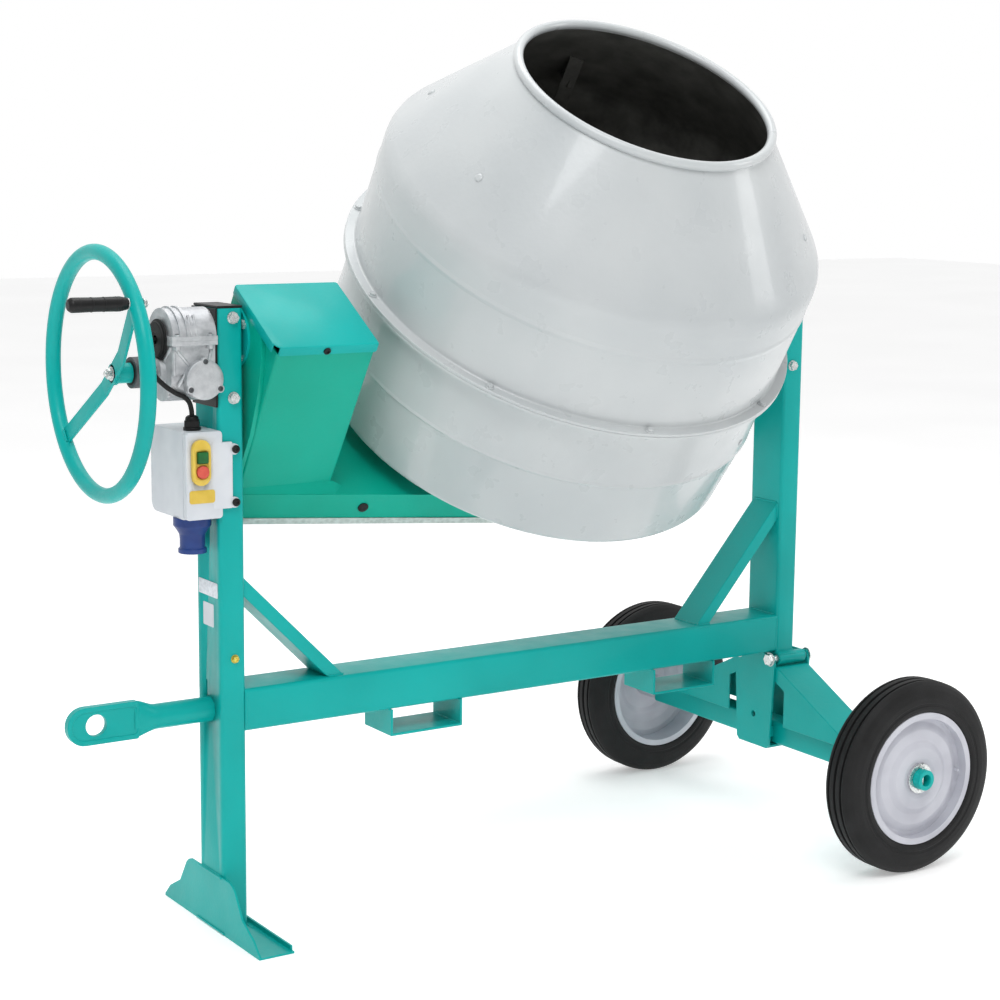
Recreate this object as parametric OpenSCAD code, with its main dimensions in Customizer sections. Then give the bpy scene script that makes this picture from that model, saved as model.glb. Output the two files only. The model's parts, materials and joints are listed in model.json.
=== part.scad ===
/* [Frame] */
// Height of the trunnion axis above the floor, mm
pivot_z = 1110; // [1080:5:1140]
// Width of each upright tube along the machine, mm
post_w = 50; // [48:1:54]
// Depth of each upright tube across the machine, mm
post_d = 100; // [96:1:104]
// Wall thickness of the frame tubes, mm
wall = 4; // [3:0.5:5]
// Height of the top end of both uprights, mm
post_top = 1165; // [1162:1:1200]
// Height of the main beam tube, mm
beam_h = 80; // [70:2:90]
// Height of the top face of the main beam, mm
beam_top = 463; // [450:1:480]
// Clear height inside the fork pockets, mm
pocket_h = 48; // [40:2:60]
// Outer width of each fork pocket, mm
pocket_w = 162; // [140:2:200]
// Length of the foot across the machine, mm
foot_l = 410; // [360:10:460]
// Height of the foot flange at the post, mm
foot_h = 110; // [90:5:130]

/* [Drum] */
// Lean of the drum axis towards the front in the rest pose, degrees
tilt = 32.3; // [30:0.1:34]
// Distance of the drum axis behind the trunnion axis, mm
drum_v = 14; // [0:1:20]
// Position of the drum axis along the machine, mm
drum_x = 166; // [150:1:170]
// Outer radius of the cylindrical part of the drum, mm
drum_r = 440; // [425:1:443]
// Sheet thickness of the drum, mm
drum_t = 4; // [3:0.5:5]
// Radius of the mouth of the drum, mm
mouth_r = 241; // [220:1:260]
// Distance of the mouth above the trunnion axis along the drum axis, mm
mouth_s = 520; // [500:1:525]
// Radius of the bolted belt flange of the drum, mm
flange_r = 461; // [450:1:464]

/* [Running gear] */
// Outer radius of the road wheels, mm
tyre_r = 200; // [190:1:210]
// Width of the tyres, mm
tyre_w = 84; // [76:2:90]
// Half of the wheel track, mm
track = 434; // [425:1:440]
// Outside diameter of the tow tube, mm
tow_d = 46; // [40:1:48]
// Radius of the towing eye, mm
eye_r = 20; // [15:1:22]

/* [Tilt drive] */
// Radius of the hand wheel to the middle of its rim, mm
wheel_r = 214; // [190:1:225]
// Diameter of the hand wheel rim tube, mm
rim_d = 28; // [22:1:32]
// Teeth of the large tilt gear
gear_teeth = 43; // [43:1:43]
// Teeth of the pinion on the hand wheel shaft
pinion_teeth = 14; // [14:1:14]
// Gear module, mm
gear_m = 2; // [2:1:2]

/* [Hidden] */
$fn = 96;
e = 0.01;
post_lx = -614;
post_rx = 708;
beam_z = beam_top - beam_h;
axle_x = 741;
axle_z = tyre_r;
hand_x = -820;
hand_z = pivot_z - gear_m * (gear_teeth + pinion_teeth) / 2;
box_x0 = -544;
box_x1 = -346;
box_v0 = -137;
box_v1 = 50;
box_top = 75;
case_top = -263;
case_bot = -323;
case_r = 235;
motor_x = -445;
motor_v = -43;
belt_s = -296;

// A box given by its low and high corners
module span(a, b) {
  translate(a) cube([b[0] - a[0], b[1] - a[1], b[2] - a[2]]);
}

// A bar of round section along X, Y or Z
module rod_x(x0, x1, y, z, r) {
  translate([x0, y, z]) rotate([0, 90, 0]) cylinder(h = x1 - x0, r = r);
}
module rod_y(y0, y1, x, z, r) {
  translate([x, y0, z]) rotate([-90, 0, 0]) cylinder(h = y1 - y0, r = r);
}
module rod_z(z0, z1, x, y, r) {
  translate([x, y, z0]) cylinder(h = z1 - z0, r = r);
}

// A hexagon head or nut, across-flats size f
module hex_y(y0, y1, x, z, f) {
  translate([x, y0, z]) rotate([-90, 0, 0]) cylinder(h = y1 - y0, r = f / 1.732, $fn = 6);
}
module hex_x(x0, x1, y, z, f) {
  translate([x0, y, z]) rotate([0, 90, 0]) cylinder(h = x1 - x0, r = f / 1.732, $fn = 6);
}
module hex_z(z0, z1, x, y, f) {
  translate([x, y, z0]) cylinder(h = z1 - z0, r = f / 1.732, $fn = 6);
}

// The tilting frame of reference: s runs along the drum axis, v across it
module tilted() {
  translate([0, 0, pivot_z]) rotate([tilt, 0, 0]) children();
}
module drum_axis() {
  tilted() translate([drum_x, drum_v, 0]) children();
}

// Upright tube with the trunnion holes and the tow tube opening
module upright(x0, z0, side) {
  difference() {
    span([x0, -post_d / 2, z0], [x0 + post_w, post_d / 2, post_top]);
    span([x0 + wall, wall - post_d / 2, z0 - 1], [x0 + post_w - wall, post_d / 2 - wall, post_top + 1]);
    rod_x(x0 - 1, x0 + post_w + 1, 0, pivot_z, 24);
    for (dz = [38, -106]) rod_y(-post_d, post_d, x0 + post_w * (side > 0 ? 0.4 : 0.6), pivot_z + dz, 6.2);
  }
}
module post_left() {
  color("teal") difference() {
    upright(post_lx, 4, -1);
    rod_x(post_lx - 1, post_lx + post_w + 1, 0, 422, tow_d / 2 + 0.6);
    span([post_lx - 1, 8, 452], [post_lx + wall + 1, 16, 476]);
  }
}
module post_right() {
  color("teal") upright(post_rx, beam_z, 1);
}
module main_beam() {
  color("teal") {
    difference() {
      span([post_lx + post_w, -post_d / 2, beam_z], [post_rx, post_d / 2, beam_top]);
      span([post_lx, wall - post_d / 2, beam_z + wall], [post_rx + 1, post_d / 2 - wall, beam_top - wall]);
    }
    // guide for the inner end of the tow tube
    difference() {
      span([-300, wall - post_d / 2 - e, beam_z + wall - e], [-280, post_d / 2 - wall + e, beam_top - wall + e]);
      rod_x(-301, -279, 0, 422, tow_d / 2 + 0.6);
    }
    // hinge tubes for the axle carrier
    for (y = [-1, 1]) difference() {
      union() {
        rod_x(708, 780, y * 52, 368, 14);
        span([708, y * 46 - 6, 368], [758, y * 46 + 6 - (y > 0 ? 2 : 0), beam_z]);
      }
      rod_x(690, 800, y * 52, 368, 8.1);
    }
  }
}
// Folded channel brace: the length a-b is its centre line at 45 degrees or so
module brace(xp, zp, xb) {
  dx = xb - xp;
  dz = beam_top - zp;
  len = sqrt(dx * dx + dz * dz);
  ang = atan2(dz, dx);
  difference() {
    translate([xp, 0, zp]) rotate([0, -ang, 0]) difference() {
      translate([-40, -40, -12.5]) cube([len + 80, 80, 25]);
      translate([-41, -36, -8.5]) cube([len + 82, 72, 17]);
    }
    span([min(xp, xb) - 200, -60, beam_z], [max(xp, xb) + 200, 60, beam_top]);
    if (xb > xp) span([xp - 200, -60, zp - 300], [xp, 60, zp + 300]);
    if (xb < xp) span([xp, -60, zp - 300], [xp + 200, 60, zp + 300]);
  }
}
module brace_left() {
  color("teal") brace(post_lx + post_w, 655, -371);
}
module brace_right() {
  color("teal") brace(post_rx, 690, 513);
}
module foot() {
  hw = foot_l / 2;
  x0 = post_lx - 4;
  x1 = post_lx + post_w + 17;
  // outer flange: level behind the post, then down to both ends in a soft S
  half = [[hw, 0], [hw, 5], [hw - 10, 14], [hw - 24, 28], [134, 53], [112, 86], [104, foot_h - 12],
    [94, foot_h - 4], [82, foot_h]];
  color("teal") {
    span([x0, -hw, 0], [x1, hw, 4]);
    translate([x0 + 4, 0, 0]) rotate([90, 0, -90]) linear_extrude(4)
      polygon(concat(half, [for (i = [len(half) - 1 : -1 : 0]) [-half[i][0], half[i][1]]]));
    // inner edge: a low lip
    span([x1 - 4, 8 - hw, 4 - e], [x1, hw - 8, 13]);
  }
}
module pocket(x0) {
  color("teal") difference() {
    union() {
      span([x0, -52, beam_z - pocket_h - 5], [x0 + pocket_w, 52, beam_z - pocket_h]);
      span([x0, -52, beam_z - pocket_h - e], [x0 + 5, 52, beam_z]);
      span([x0 + pocket_w - 5, -52, beam_z - pocket_h - e], [x0 + pocket_w, 52, beam_z]);
    }
  }
}
module pocket_left() {
  pocket(-256);
}
module pocket_right() {
  pocket(376);
}
module axle_beam() {
  color("teal") difference() {
    union() {
      span([axle_x - 25, -388, axle_z - 25], [axle_x + 25, 388, axle_z + 25]);
      rod_y(-488, 488, axle_x, axle_z, 21);
    }
    span([axle_x - 21, -384, axle_z - 21], [axle_x + 21, 384, axle_z + 21]);
    rod_y(-489, 489, axle_x, axle_z, 12);
    for (y = [-476, 476]) rod_z(axle_z - 30, axle_z + 30, axle_x, y, 2.6);
  }
}
module axle_column() {
  color("teal") {
    for (x = [691, 786]) difference() {
      translate([x, 0, 0]) rotate([90, 0, 90]) linear_extrude(5)
        polygon([[-54, 176], [-46, 168], [46, 168], [54, 176], [66, 358], [60, 378],
          [-60, 378], [-66, 358]]);
      for (y = [-52, 52]) rod_x(x - 1, x + 6, y, 368, 8.1);
      rod_x(x - 1, x + 6, 0, 236, 7);
    }
    // saddle under the axle tube that joins the two plates
    span([696 - e, -46, 168], [786 + e, 46, 173]);
    for (x = [696, 766.3]) span([x - e, -40, 190], [x + 19.7, 40, 212]);
  }
}
// Folded strut from the hinge tube down to the axle end
module strut() {
  color("teal") difference() {
    translate([697, 0, 0]) rotate([90, 0, 90]) linear_extrude(88)
      polygon([[56, 351], [70, 351], [286, 243], [286, 225], [92, 225], [92, 304], [56, 322]]);
    translate([701, 0, 0]) rotate([90, 0, 90]) linear_extrude(80)
      polygon([[50, 346.5], [69, 346.5], [282, 240], [282, 220], [50, 220]]);
  }
}
module strut_far() {
  strut();
}
module strut_near() {
  mirror([0, 1, 0]) strut();
}
module axle_pins() {
  color("silver") for (y = [-52, 52]) {
    rod_x(680, 802, y, 368, 8);
    hex_x(791.3, 800, y, 368, 24);
    hex_x(681, 690.7, y, 368, 24);
  }
}
// Cast bearing block held inside an upright by two cross bolts
module block(x0, side) {
  bx = x0 + post_w * (side > 0 ? 0.4 : 0.6);
  difference() {
    span([x0 + wall + 0.3, wall + 0.3 - post_d / 2, pivot_z - 120],
      [x0 + post_w - wall - 0.3, post_d / 2 - wall - 0.3, pivot_z + 50]);
    rod_x(x0 - 1, x0 + post_w + 1, 0, pivot_z, 20.05);
    for (dz = [38, -106]) rod_y(-post_d, post_d, bx, pivot_z + dz, 6.2);
  }
  for (dz = [38, -106]) {
    rod_y(-post_d / 2 - 1, post_d / 2 + 9, bx, pivot_z + dz, 6);
    translate([bx, -post_d / 2 - 0.3, pivot_z + dz]) rotate([90, 0, 0]) cylinder(h = 2, r = 11);
    hex_y(-post_d / 2 - 9, -post_d / 2 - 2.3 + e, bx, pivot_z + dz, 17);
    hex_y(post_d / 2 + 0.3, post_d / 2 + 8, bx, pivot_z + dz, 17);
    // washers inside join bolt and block
    rod_y(-20, 20, bx, pivot_z + dz, 6.2);
  }
}
module block_left() {
  color("gray") block(post_lx, -1);
}
module block_right() {
  color("gray") block(post_rx, 1);
}
module cap(x0) {
  color("black") {
    span([x0 + wall + 0.1, wall + 0.1 - post_d / 2, post_top - 3], [x0 + post_w - wall - 0.1, post_d / 2 - wall - 0.1, post_top + e]);
    span([x0, -post_d / 2, post_top], [x0 + post_w, post_d / 2, post_top + 5]);
  }
}
module cap_left() {
  cap(post_lx);
}
module cap_right() {
  cap(post_rx);
}
// Housing of the tilt gears, split at the trunnion axis
gb_x0 = post_lx - 88;
gb_x1 = post_lx - 4;
module gearbox_plate() {
  color("black") difference() {
    span([gb_x1, -50, pivot_z - 122], [post_lx, 50, post_top]);
    rod_x(gb_x1 - 1, post_lx + 1, 0, pivot_z, 24);
    rod_x(gb_x1 - 1, post_lx + 1, 0, hand_z, 11);
  }
}
module gearbox_upper() {
  color("silver") difference() {
    union() {
      rod_x(gb_x0, gb_x1, 0, pivot_z, 56);
      span([gb_x0 - 4, -60, pivot_z + 0.1], [gb_x1, 60, pivot_z + 8]);
      for (x = [gb_x0 + 12, gb_x0 + 26]) rod_x(x, x + 5, 0, pivot_z, 59);
      for (x = [gb_x0 + 8, gb_x1 - 12], y = [-53, 53]) rod_z(pivot_z + 6, pivot_z + 12, x, y, 6);
    }
    rod_x(gb_x0 + 8, gb_x1 + 1, 0, pivot_z, 47.5);
    rod_x(gb_x0 - 9, gb_x0 + 9, 0, pivot_z, 20.5);
    span([gb_x0 - 9, -70, pivot_z - 80], [gb_x1 + 9, 70, pivot_z + 0.1]);
  }
}
module gearbox_lower() {
  color("silver") difference() {
    union() {
      span([gb_x0, -49, pivot_z - 60], [gb_x1, 49, pivot_z]);
      rod_x(gb_x0, gb_x1, 0, pivot_z - 65, 46);
      span([gb_x0 - 4, -60, pivot_z - 8], [gb_x1, 60, pivot_z]);
      rod_x(gb_x0 - 10, gb_x0 + e, 0, hand_z, 24);
      rod_y(-56, -30, -644, pivot_z - 70, 36);
      for (x = [gb_x0 + 8, gb_x1 - 12], y = [-53, 53]) hex_z(pivot_z - 15, pivot_z - 7, x, y, 11);
    }
    span([gb_x0 + 8, -41, pivot_z - 60], [gb_x1 + 1, 41, pivot_z + 1]);
    rod_x(gb_x0 + 8, gb_x1 + 1, 0, pivot_z - 65, 38);
    rod_x(gb_x0 + 8, gb_x1 + 1, 0, pivot_z, 47.5);
    rod_x(gb_x0 - 9, gb_x0 + 9, 0, pivot_z, 20.5);
    rod_x(gb_x0 - 11, gb_x0 + 9, 0, hand_z, 10.05);
    rod_y(-57, -30, -644, pivot_z - 70, 21);
    // flat against the post
    span([gb_x1, -50.3, 900], [gb_x1 + 20, 100, 1200]);
  }
}
module gearbox_cap() {
  color("silver") {
    rod_y(-62, -56, -644, pivot_z - 70, 36);
    rod_y(-56 - e, -50, -644, pivot_z - 70, 20.9);
    for (a = [30, 150, 270]) rotate([0, 0, 0]) hex_y(-67, -62 + e,
      -644 + 30 * cos(a), pivot_z - 70 + 30 * sin(a), 10);
  }
}

// Switch unit on the outer side of the left post
module switch_body() {
  color("white") difference() {
    union() {
      span([-682, -44, 800], [-614, 95, 947]);
      span([-682, -44, 788], [-614, 80, 801]);
      translate([-682, 80, 803]) rotate([0, 90, 0]) cylinder(h = 68, r = 15);
    }
    span([-678, -45, 792], [-619, 90, 943]);
    rod_z(780, 795, -651, -14, 22);
    rod_z(940, 950, -654, -25, 10);
  }
}
module switch_front() {
  color("white") difference() {
    union() {
      span([-682, -58, 788], [-610, -44, 947]);
      span([-611, -58, 805], [-590, -50.3, 926]);
      for (z = [815, 912]) rod_y(-58, -50.3, -586, z, 10);
    }
    span([-678, -52, 792], [-618, -43, 943]);
    span([-615 + e, -50.3, 780], [-600, -40, 950]);
    span([-664.5, -60, 891.5], [-643.5, -50, 912.5]);
    rod_y(-60, -50, -654, 876, 12.5);
  }
  color("black") for (z = [815, 912]) {
    rod_y(-63, -58 + e, -584, z, 7.5);
  }
}
module switch_bezel() {
  color("gold") difference() {
    union() {
      span([-673, -68, 869], [-637, -58, 916]);
      rod_y(-68, -58, -655, 869, 18);
      rod_y(-68, -58, -655, 916, 18);
      span([-676, -58.8, 818], [-626, -58, 842]);
    }
    span([-664.5, -70, 891.5], [-643.5, -57, 912.5]);
    rod_y(-70, -57, -654, 876, 12);
  }
}
module start_button() {
  color("green") {
    span([-664, -73, 892], [-644, -56, 912]);
    rod_y(-56 - e, -46, -654, 902, 6);
  }
}
module stop_button() {
  color("red") {
    rod_y(-74, -56, -654, 876, 11.5);
    rod_y(-56 - e, -46, -654, 876, 6);
  }
}
module power_inlet() {
  color("navy") difference() {
    union() {
      rod_z(772, 788, -651, -14, 34.5);
      translate([-651, -14, 758]) cylinder(h = 14 + e, r1 = 24, r2 = 34.5);
      rod_z(722, 758 + e, -651, -14, 23);
      rod_z(722, 730, -651, -14, 26);
      rod_z(788 - e, 798, -651, -14, 21.5);
      // hinge lug of the closing flap
      span([-660, 10, 726], [-642, 22, 748]);
    }
    rod_z(721, 770, -651, -14, 19);
  }
  color("navy") for (a = [0, 120, 240]) rod_z(732, 771, -651 + 9 * cos(a), -14 + 9 * sin(a), 3);
}
module cable_gland() {
  color("black") difference() {
    union() {
      rod_z(936, 948, -654, -25, 9.9);
      rod_z(947, 953, -654, -25, 16);
      hex_z(953 - e, 966, -654, -25, 27);
      rod_z(966 - e, 974, -654, -25, 11.5);
    }
    rod_z(935, 975, -654, -25, 4.8);
  }
}
module cable_grommet() {
  color("black") difference() {
    rod_x(gb_x0 - 12, gb_x0 - 4, 0, pivot_z, 37);
    rod_x(gb_x0 - 13, gb_x0 - 3, 0, pivot_z, 8);
    rod_x(gb_x0 - 13, gb_x0 - 3, 0, hand_z, 25);
  }
}

// Motor cable: a round tube swept along a smooth curve through these points
cable_pts = [[-620, 0, 1110], [-660, 0, 1110], [-700, 0, 1110], [-719, -2.5, 1108.5],
  [-735, -10, 1100.5], [-740, -25, 1082], [-739, -37, 1064], [-730, -46, 1046], [-714, -50, 1030],
  [-695, -48, 1018], [-677, -41, 1010], [-663, -33, 999], [-656, -27, 985], [-654, -25, 974],
  [-654, -25, 960]];
function mid(p, q, t) = p + (q - p) * t;
function spline(a, b, c, d, t) = 0.5 * ((2 * b) + (c - a) * t + (2 * a - 5 * b + 4 * c - d) * t * t
  + (3 * b - a - 3 * c + d) * t * t * t);
function path(p, n) = [for (i = [0 : len(p) - 2], k = [0 : n - 1])
  spline(p[max(i - 1, 0)], p[i], p[i + 1], p[min(i + 2, len(p) - 1)], k / n), [p[len(p) - 1]][0]];
function unit(v) = v / norm(v);
function side_dir(t, up) = unit(cross(t, up));
module sweep(p, r, m) {
  n = len(p);
  up = [0.3, 0.9, 0.35];
  rings = [for (i = [0 : n - 1]) let (
    t = unit(p[min(i + 1, n - 1)] - p[max(i - 1, 0)]),
    u = side_dir(t, up), v = cross(t, u))
    for (j = [0 : m - 1]) p[i] + r * cos(360 * j / m) * u + r * sin(360 * j / m) * v];
  faces = concat(
    [[for (j = [0 : m - 1]) j]],
    [[for (j = [m - 1 : -1 : 0]) (n - 1) * m + j]],
    [for (i = [0 : n - 2], j = [0 : m - 1])
      [i * m + j, (i + 1) * m + j, (i + 1) * m + (j + 1) % m, i * m + (j + 1) % m]]);
  polyhedron(points = rings, faces = faces, convexity = 4);
}
module motor_cable() {
  color("black") sweep(path(cable_pts, 4), 4.5, 14);
}

// Tow tube with its flattened eye
module tow_bar() {
  color("teal") difference() {
    union() {
      rod_x(-746, -270, 0, 422, tow_d / 2);
      span([-860, -8, 387], [-746, 8, 457]);
      rod_y(-8, 8, -860, 422, 35);
      for (s = [-1, 1]) translate([-746 - e, 0, 422]) rotate([0, 90, 0])
        cylinder(h = 26, r1 = 16, r2 = tow_d / 2);
      span([-760, -14, 400], [-740, 14, 444]);
    }
    rod_x(-738, -269, 0, 422, tow_d / 2 - 4);
    rod_y(-20, 20, -840, 422, eye_r);
  }
}

// Hand wheel: rim, two dished flat spokes and hub
grip_turn = 39;
module handwheel() {
  color("teal") translate([hand_x, 0, hand_z]) rotate([-grip_turn, 0, 0]) {
    rotate([0, 90, 0]) rotate_extrude() translate([wheel_r, 0]) circle(r = rim_d / 2, $fn = 32);
    for (k = [0, 180]) rotate([k, 0, 0]) {
      // spoke: flat at the hub, then sloping out to the rim
      rotate([90, 0, 90]) translate([0, 0, 24]) linear_extrude(6)
        polygon([[-50, -15], [50, -15], [50, 15], [-50, 15]]);
      translate([0, 0, -15]) linear_extrude(30)
        polygon([[24, 48], [30, 48], [3, wheel_r], [-3, wheel_r]]);
    }
    difference() {
      rod_x(24, 60, 0, 0, 18);
      rod_x(40, 61, 0, 0, 10);
    }
    // bolt that carries the grip
    rod_x(-112, 20, -wheel_r, 0, 5);
    hex_x(13, 21, -wheel_r, 0, 15);
  }
}
module wheel_shaft() {
  color("gray") {
    rod_x(hand_x + 40, -626, 0, hand_z, 10);
    rod_x(hand_x + 60, hand_x + 80, 0, hand_z, 28);
    translate([-672, 0, hand_z]) rotate([90, 0, 90]) gear(pinion_teeth, 20, 0, pinion_turn);
  }
}
module wheel_grip() {
  gy = -wheel_r * cos(grip_turn);
  gz = hand_z + wheel_r * sin(grip_turn);
  color("black") difference() {
    union() {
      rod_x(hand_x - 116, hand_x - 24, gy, gz, 13);
      translate([hand_x - 24 - e, gy, gz]) rotate([0, 90, 0]) cylinder(h = 8, r1 = 13, r2 = 10);
      translate([hand_x - 116 + e, gy, gz]) rotate([0, -90, 0]) cylinder(h = 5, r1 = 13, r2 = 10);
    }
    rod_x(hand_x - 112.5, hand_x, gy, gz, 5.05);
  }
}

// Spur gear outline with straight-sided teeth, z teeth, thickness h
function tooth(i, z, rot) = let (
  rp = gear_m * z / 2, ra = rp + gear_m * 0.9, rf = rp - gear_m * 1.2,
  w = 360 / z, a = rot + i * w) [
    [rf, a - w * 0.34], [rp, a - w * 0.225], [ra, a - w * 0.11],
    [ra, a + w * 0.11], [rp, a + w * 0.225], [rf, a + w * 0.34]];
module gear(z, h, bore, rot) {
  linear_extrude(h) difference() {
    polygon([for (i = [0 : z - 1]) for (q = tooth(i, z, rot)) [q[0] * cos(q[1]), q[0] * sin(q[1])]]);
    if (bore > 0) circle(r = bore);
  }
}
// a tooth of the large gear points down, a gap of the pinion points up
gear_turn = -90;
pinion_turn = 90 + 180 / pinion_teeth;

// Road wheel, centred on the Y axis, outer side towards +Y
module rim() {
  color("lightgray") rotate([-90, 0, 0]) rotate_extrude() {
    polygon([[124, -38], [128, -38], [128, 38], [124, 38]]);
    polygon([[124, 35], [137, 35], [137, 39], [124, 39]]);
    polygon([[124, -39], [137, -39], [137, -35], [124, -35]]);
    polygon([[27, 26], [44, 30], [62, 30], [74, 22], [96, 22], [112, 14], [125, 14],
      [125, 18], [114, 18], [98, 26], [76, 26], [64, 34], [42, 34], [27, 30]]);
    polygon([[21.05, -38], [27.5, -38], [27.5, 32], [21.05, 32]]);
  }
}
module tyre() {
  h = tyre_w / 2;
  color("black") rotate([-90, 0, 0]) rotate_extrude() polygon([
    [128.1, -34.8], [137.4, -34.8], [137.4, -h + 2], [146, -h], [166, -h], [180, -h + 2], [190, -h + 6],
    [196, -h + 12], [tyre_r - 0.5, -22], [tyre_r - 0.5, -19], [195, -19], [195, -15],
    [tyre_r, -15], [tyre_r, -3], [195, -3], [195, 3], [tyre_r, 3], [tyre_r, 15], [195, 15], [195, 19],
    [tyre_r - 0.5, 19], [tyre_r - 0.5, 22],
    [196, h - 12], [190, h - 6], [180, h - 2], [166, h], [146, h], [137.4, h - 2],
    [137.4, 34.8], [128.1, 34.8]]);
}
module place(y, turn) {
  translate([axle_x, y, axle_z]) rotate([0, 0, turn]) children();
}
module rim_near() {
  place(-track, 180) rim();
}
module tyre_near() {
  place(-track, 180) tyre();
}
module rim_far() {
  place(track, 0) rim();
}
module tyre_far() {
  place(track, 0) tyre();
}
module retainer() {
  color("gray") {
    difference() {
      rod_y(467, 470.5, axle_x, axle_z, 31);
      rod_y(460, 480, axle_x, axle_z, 21.2);
    }
    rod_z(axle_z - 27, axle_z + 27, axle_x, 476, 2.5);
    rod_x(axle_x - 6, axle_x + 6, 476, axle_z + 29, 3);
  }
}
module retainer_far() {
  retainer();
}
module retainer_near() {
  mirror([0, 1, 0]) retainer();
}

// Tilting cradle
module cradle_plate() {
  color("seagreen") tilted() difference() {
    translate([box_x0 - 8, 0, 0]) rotate([90, 0, 90]) linear_extrude(8)
      polygon([[-137, case_bot + 3.3], [-137, -120], [-124, -40], [-104, 20], [-82, 58], [-58, 74], [-30, box_top],
        [box_v1, box_top], [box_v1, case_bot + 3.3]]);
    rod_x(box_x0 - 9, box_x0 + 1, 0, 0, 11);
    for (a = [25, 115, 205, 295]) rod_x(box_x0 - 9, box_x0 + 1, 46 * cos(a), 46 * sin(a), 5.2);
  }
}
module trunnion_left() {
  color("gray") tilted() {
    difference() {
      union() {
        rod_x(gb_x0 + 1, box_x0 - 8, 0, 0, 20);
        rod_x(box_x0 - 13, box_x0 - 8, 0, 0, 56);
      }
      rod_x(gb_x0, box_x0, 0, 0, 11);
    }
    for (a = [25, 115, 205, 295]) {
      hex_x(box_x0 - 18, box_x0 - 13 + e, 46 * cos(a), 46 * sin(a), 16);
      rod_x(box_x0 - 13 - e, box_x0 + 4, 46 * cos(a), 46 * sin(a), 5);
    }
  }
}
module tilt_gear() {
  color("gray") translate([-672, 0, pivot_z]) rotate([90, 0, 90]) gear(gear_teeth, 20, 20, gear_turn);
}
module cover_box() {
  color("seagreen") tilted() difference() {
    span([box_x0, box_v0, case_top], [box_x1, box_v1, 60]);
    span([box_x0 - 1, box_v0 + 3, case_top - 1], [box_x1 - 3, box_v1 - 3, 61]);
  }
}
module cover_lid() {
  color("teal") tilted() {
    difference() {
      span([box_x0 - 10, box_v0 - 3.4, 58], [box_x1 + 3.4, box_v1 + 3.4, box_top + 3]);
      span([box_x0 - 8.2, box_v0 - 0.4, 57], [box_x1 + 0.4, box_v1 + 0.4, box_top + 0.6]);
    }
    rod_y(box_v0 - 8, box_v0 - 3.4 + e, -449, 67, 7);
  }
}

// Plan outline of the belt casing: straight at the motor, round at the drum
function tan_pt(px, py, cx, cy, r, sgn) = let (
  dx = px - cx, dy = py - cy, d = norm([dx, dy]),
  base = atan2(dy, dx), off = acos(r / d), a = base + sgn * off) [cx + r * cos(a), cy + r * sin(a)];
module casing_plan(g) {
  r = case_r + g;
  x = box_x0 - g;
  lo = box_v0 - g;
  hi = box_v1 + g;
  union() {
    translate([drum_x, drum_v]) circle(r = r, $fn = 120);
    polygon([[x, lo], tan_pt(x, lo, drum_x, drum_v, r, 1), [drum_x, drum_v],
      tan_pt(x, hi, drum_x, drum_v, r, -1), [x, hi]]);
  }
}
module belt_casing() {
  color("seagreen") tilted() difference() {
    translate([0, 0, case_bot]) linear_extrude(case_top - case_bot) casing_plan(0);
    translate([0, 0, case_bot - 1]) linear_extrude(case_top - case_bot - 2) casing_plan(-3);
    // hole for the drum bearing
    rod_z(case_top - 9, case_top + 1, drum_x, drum_v, 45.3);
    // hole for the motor shaft and its flange
    rod_z(case_top - 9, case_top + 1, motor_x, motor_v, 40);
    // grommet hole in the front of the casing
    rod_y(box_v0 - 60, box_v0 + 20, -281, -296, 7);
  }
}
module bottom_cover() {
  color("lightgray") tilted() {
    difference() {
      translate([0, 0, case_bot - 11]) linear_extrude(14) casing_plan(2.6);
      translate([0, 0, case_bot - 9]) linear_extrude(14) casing_plan(0.4);
    }
    for (p = [[-530, -118], [-430, -132], [-250, -150], [-60, -170], [60, -176], [300, -120],
      [370, 14], [300, 150], [60, 204], [-200, 110], [-400, 58]])
      hex_z(case_bot - 15, case_bot - 11 + e, p[0], p[1], 13);
  }
}
module cradle_arm() {
  color("seagreen") tilted() difference() {
    union() {
      // cross tube from the casing to the right side
      span([330, -26 + drum_v, case_top - 56], [692, 26 + drum_v, case_top - 4]);
      // upright leg to the right trunnion
      span([640, -40, case_top - 56], [692, 40, 60]);
      rod_x(640, 692, 0, 0, 52);
    }
    span([320, drum_v - 22, case_top - 52], [688, 22 + drum_v, case_top - 8]);
    span([644, -36, case_top - 52], [688, 36, -60]);
    translate([0, 0, case_bot - 1]) linear_extrude(case_top - case_bot + 2) casing_plan(0);
  }
}
module trunnion_right() {
  color("gray") tilted() {
    rod_x(696, 752, 0, 0, 20);
    rod_x(692, 698, 0, 0, 46);
  }
}
module motor() {
  color("dimgray") tilted() {
    rod_z(case_top + 12, case_top + 232, motor_x, motor_v, 70);
    rod_z(case_top, case_top + 12 + e, motor_x, motor_v, 82);
    rod_z(case_top - 3, case_top + e, motor_x, motor_v, 39.5);
    rod_z(case_top + 232 - e, case_top + 262, motor_x, motor_v, 64);
    for (a = [0 : 20 : 340]) translate([motor_x, motor_v, 0]) rotate([0, 0, a])
      span([68, -1.5, case_top + 24], [77, 1.5, case_top + 220]);
    span([-376, motor_v - 34, -190], [-356, motor_v + 34, -100]);
  }
}
module pulley_solid(r, h) {
  rotate_extrude() polygon([[0, 0], [r, 0], [r, 2], [r - 10, 6], [r - 10, h - 6], [r, h - 2], [r, h], [0, h]]);
}
module motor_pulley() {
  color("silver") tilted() {
    translate([motor_x, motor_v, belt_s - 22]) pulley_solid(38, 22);
    rod_z(belt_s - e, case_top - 3.3, motor_x, motor_v, 12);
  }
}
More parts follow.
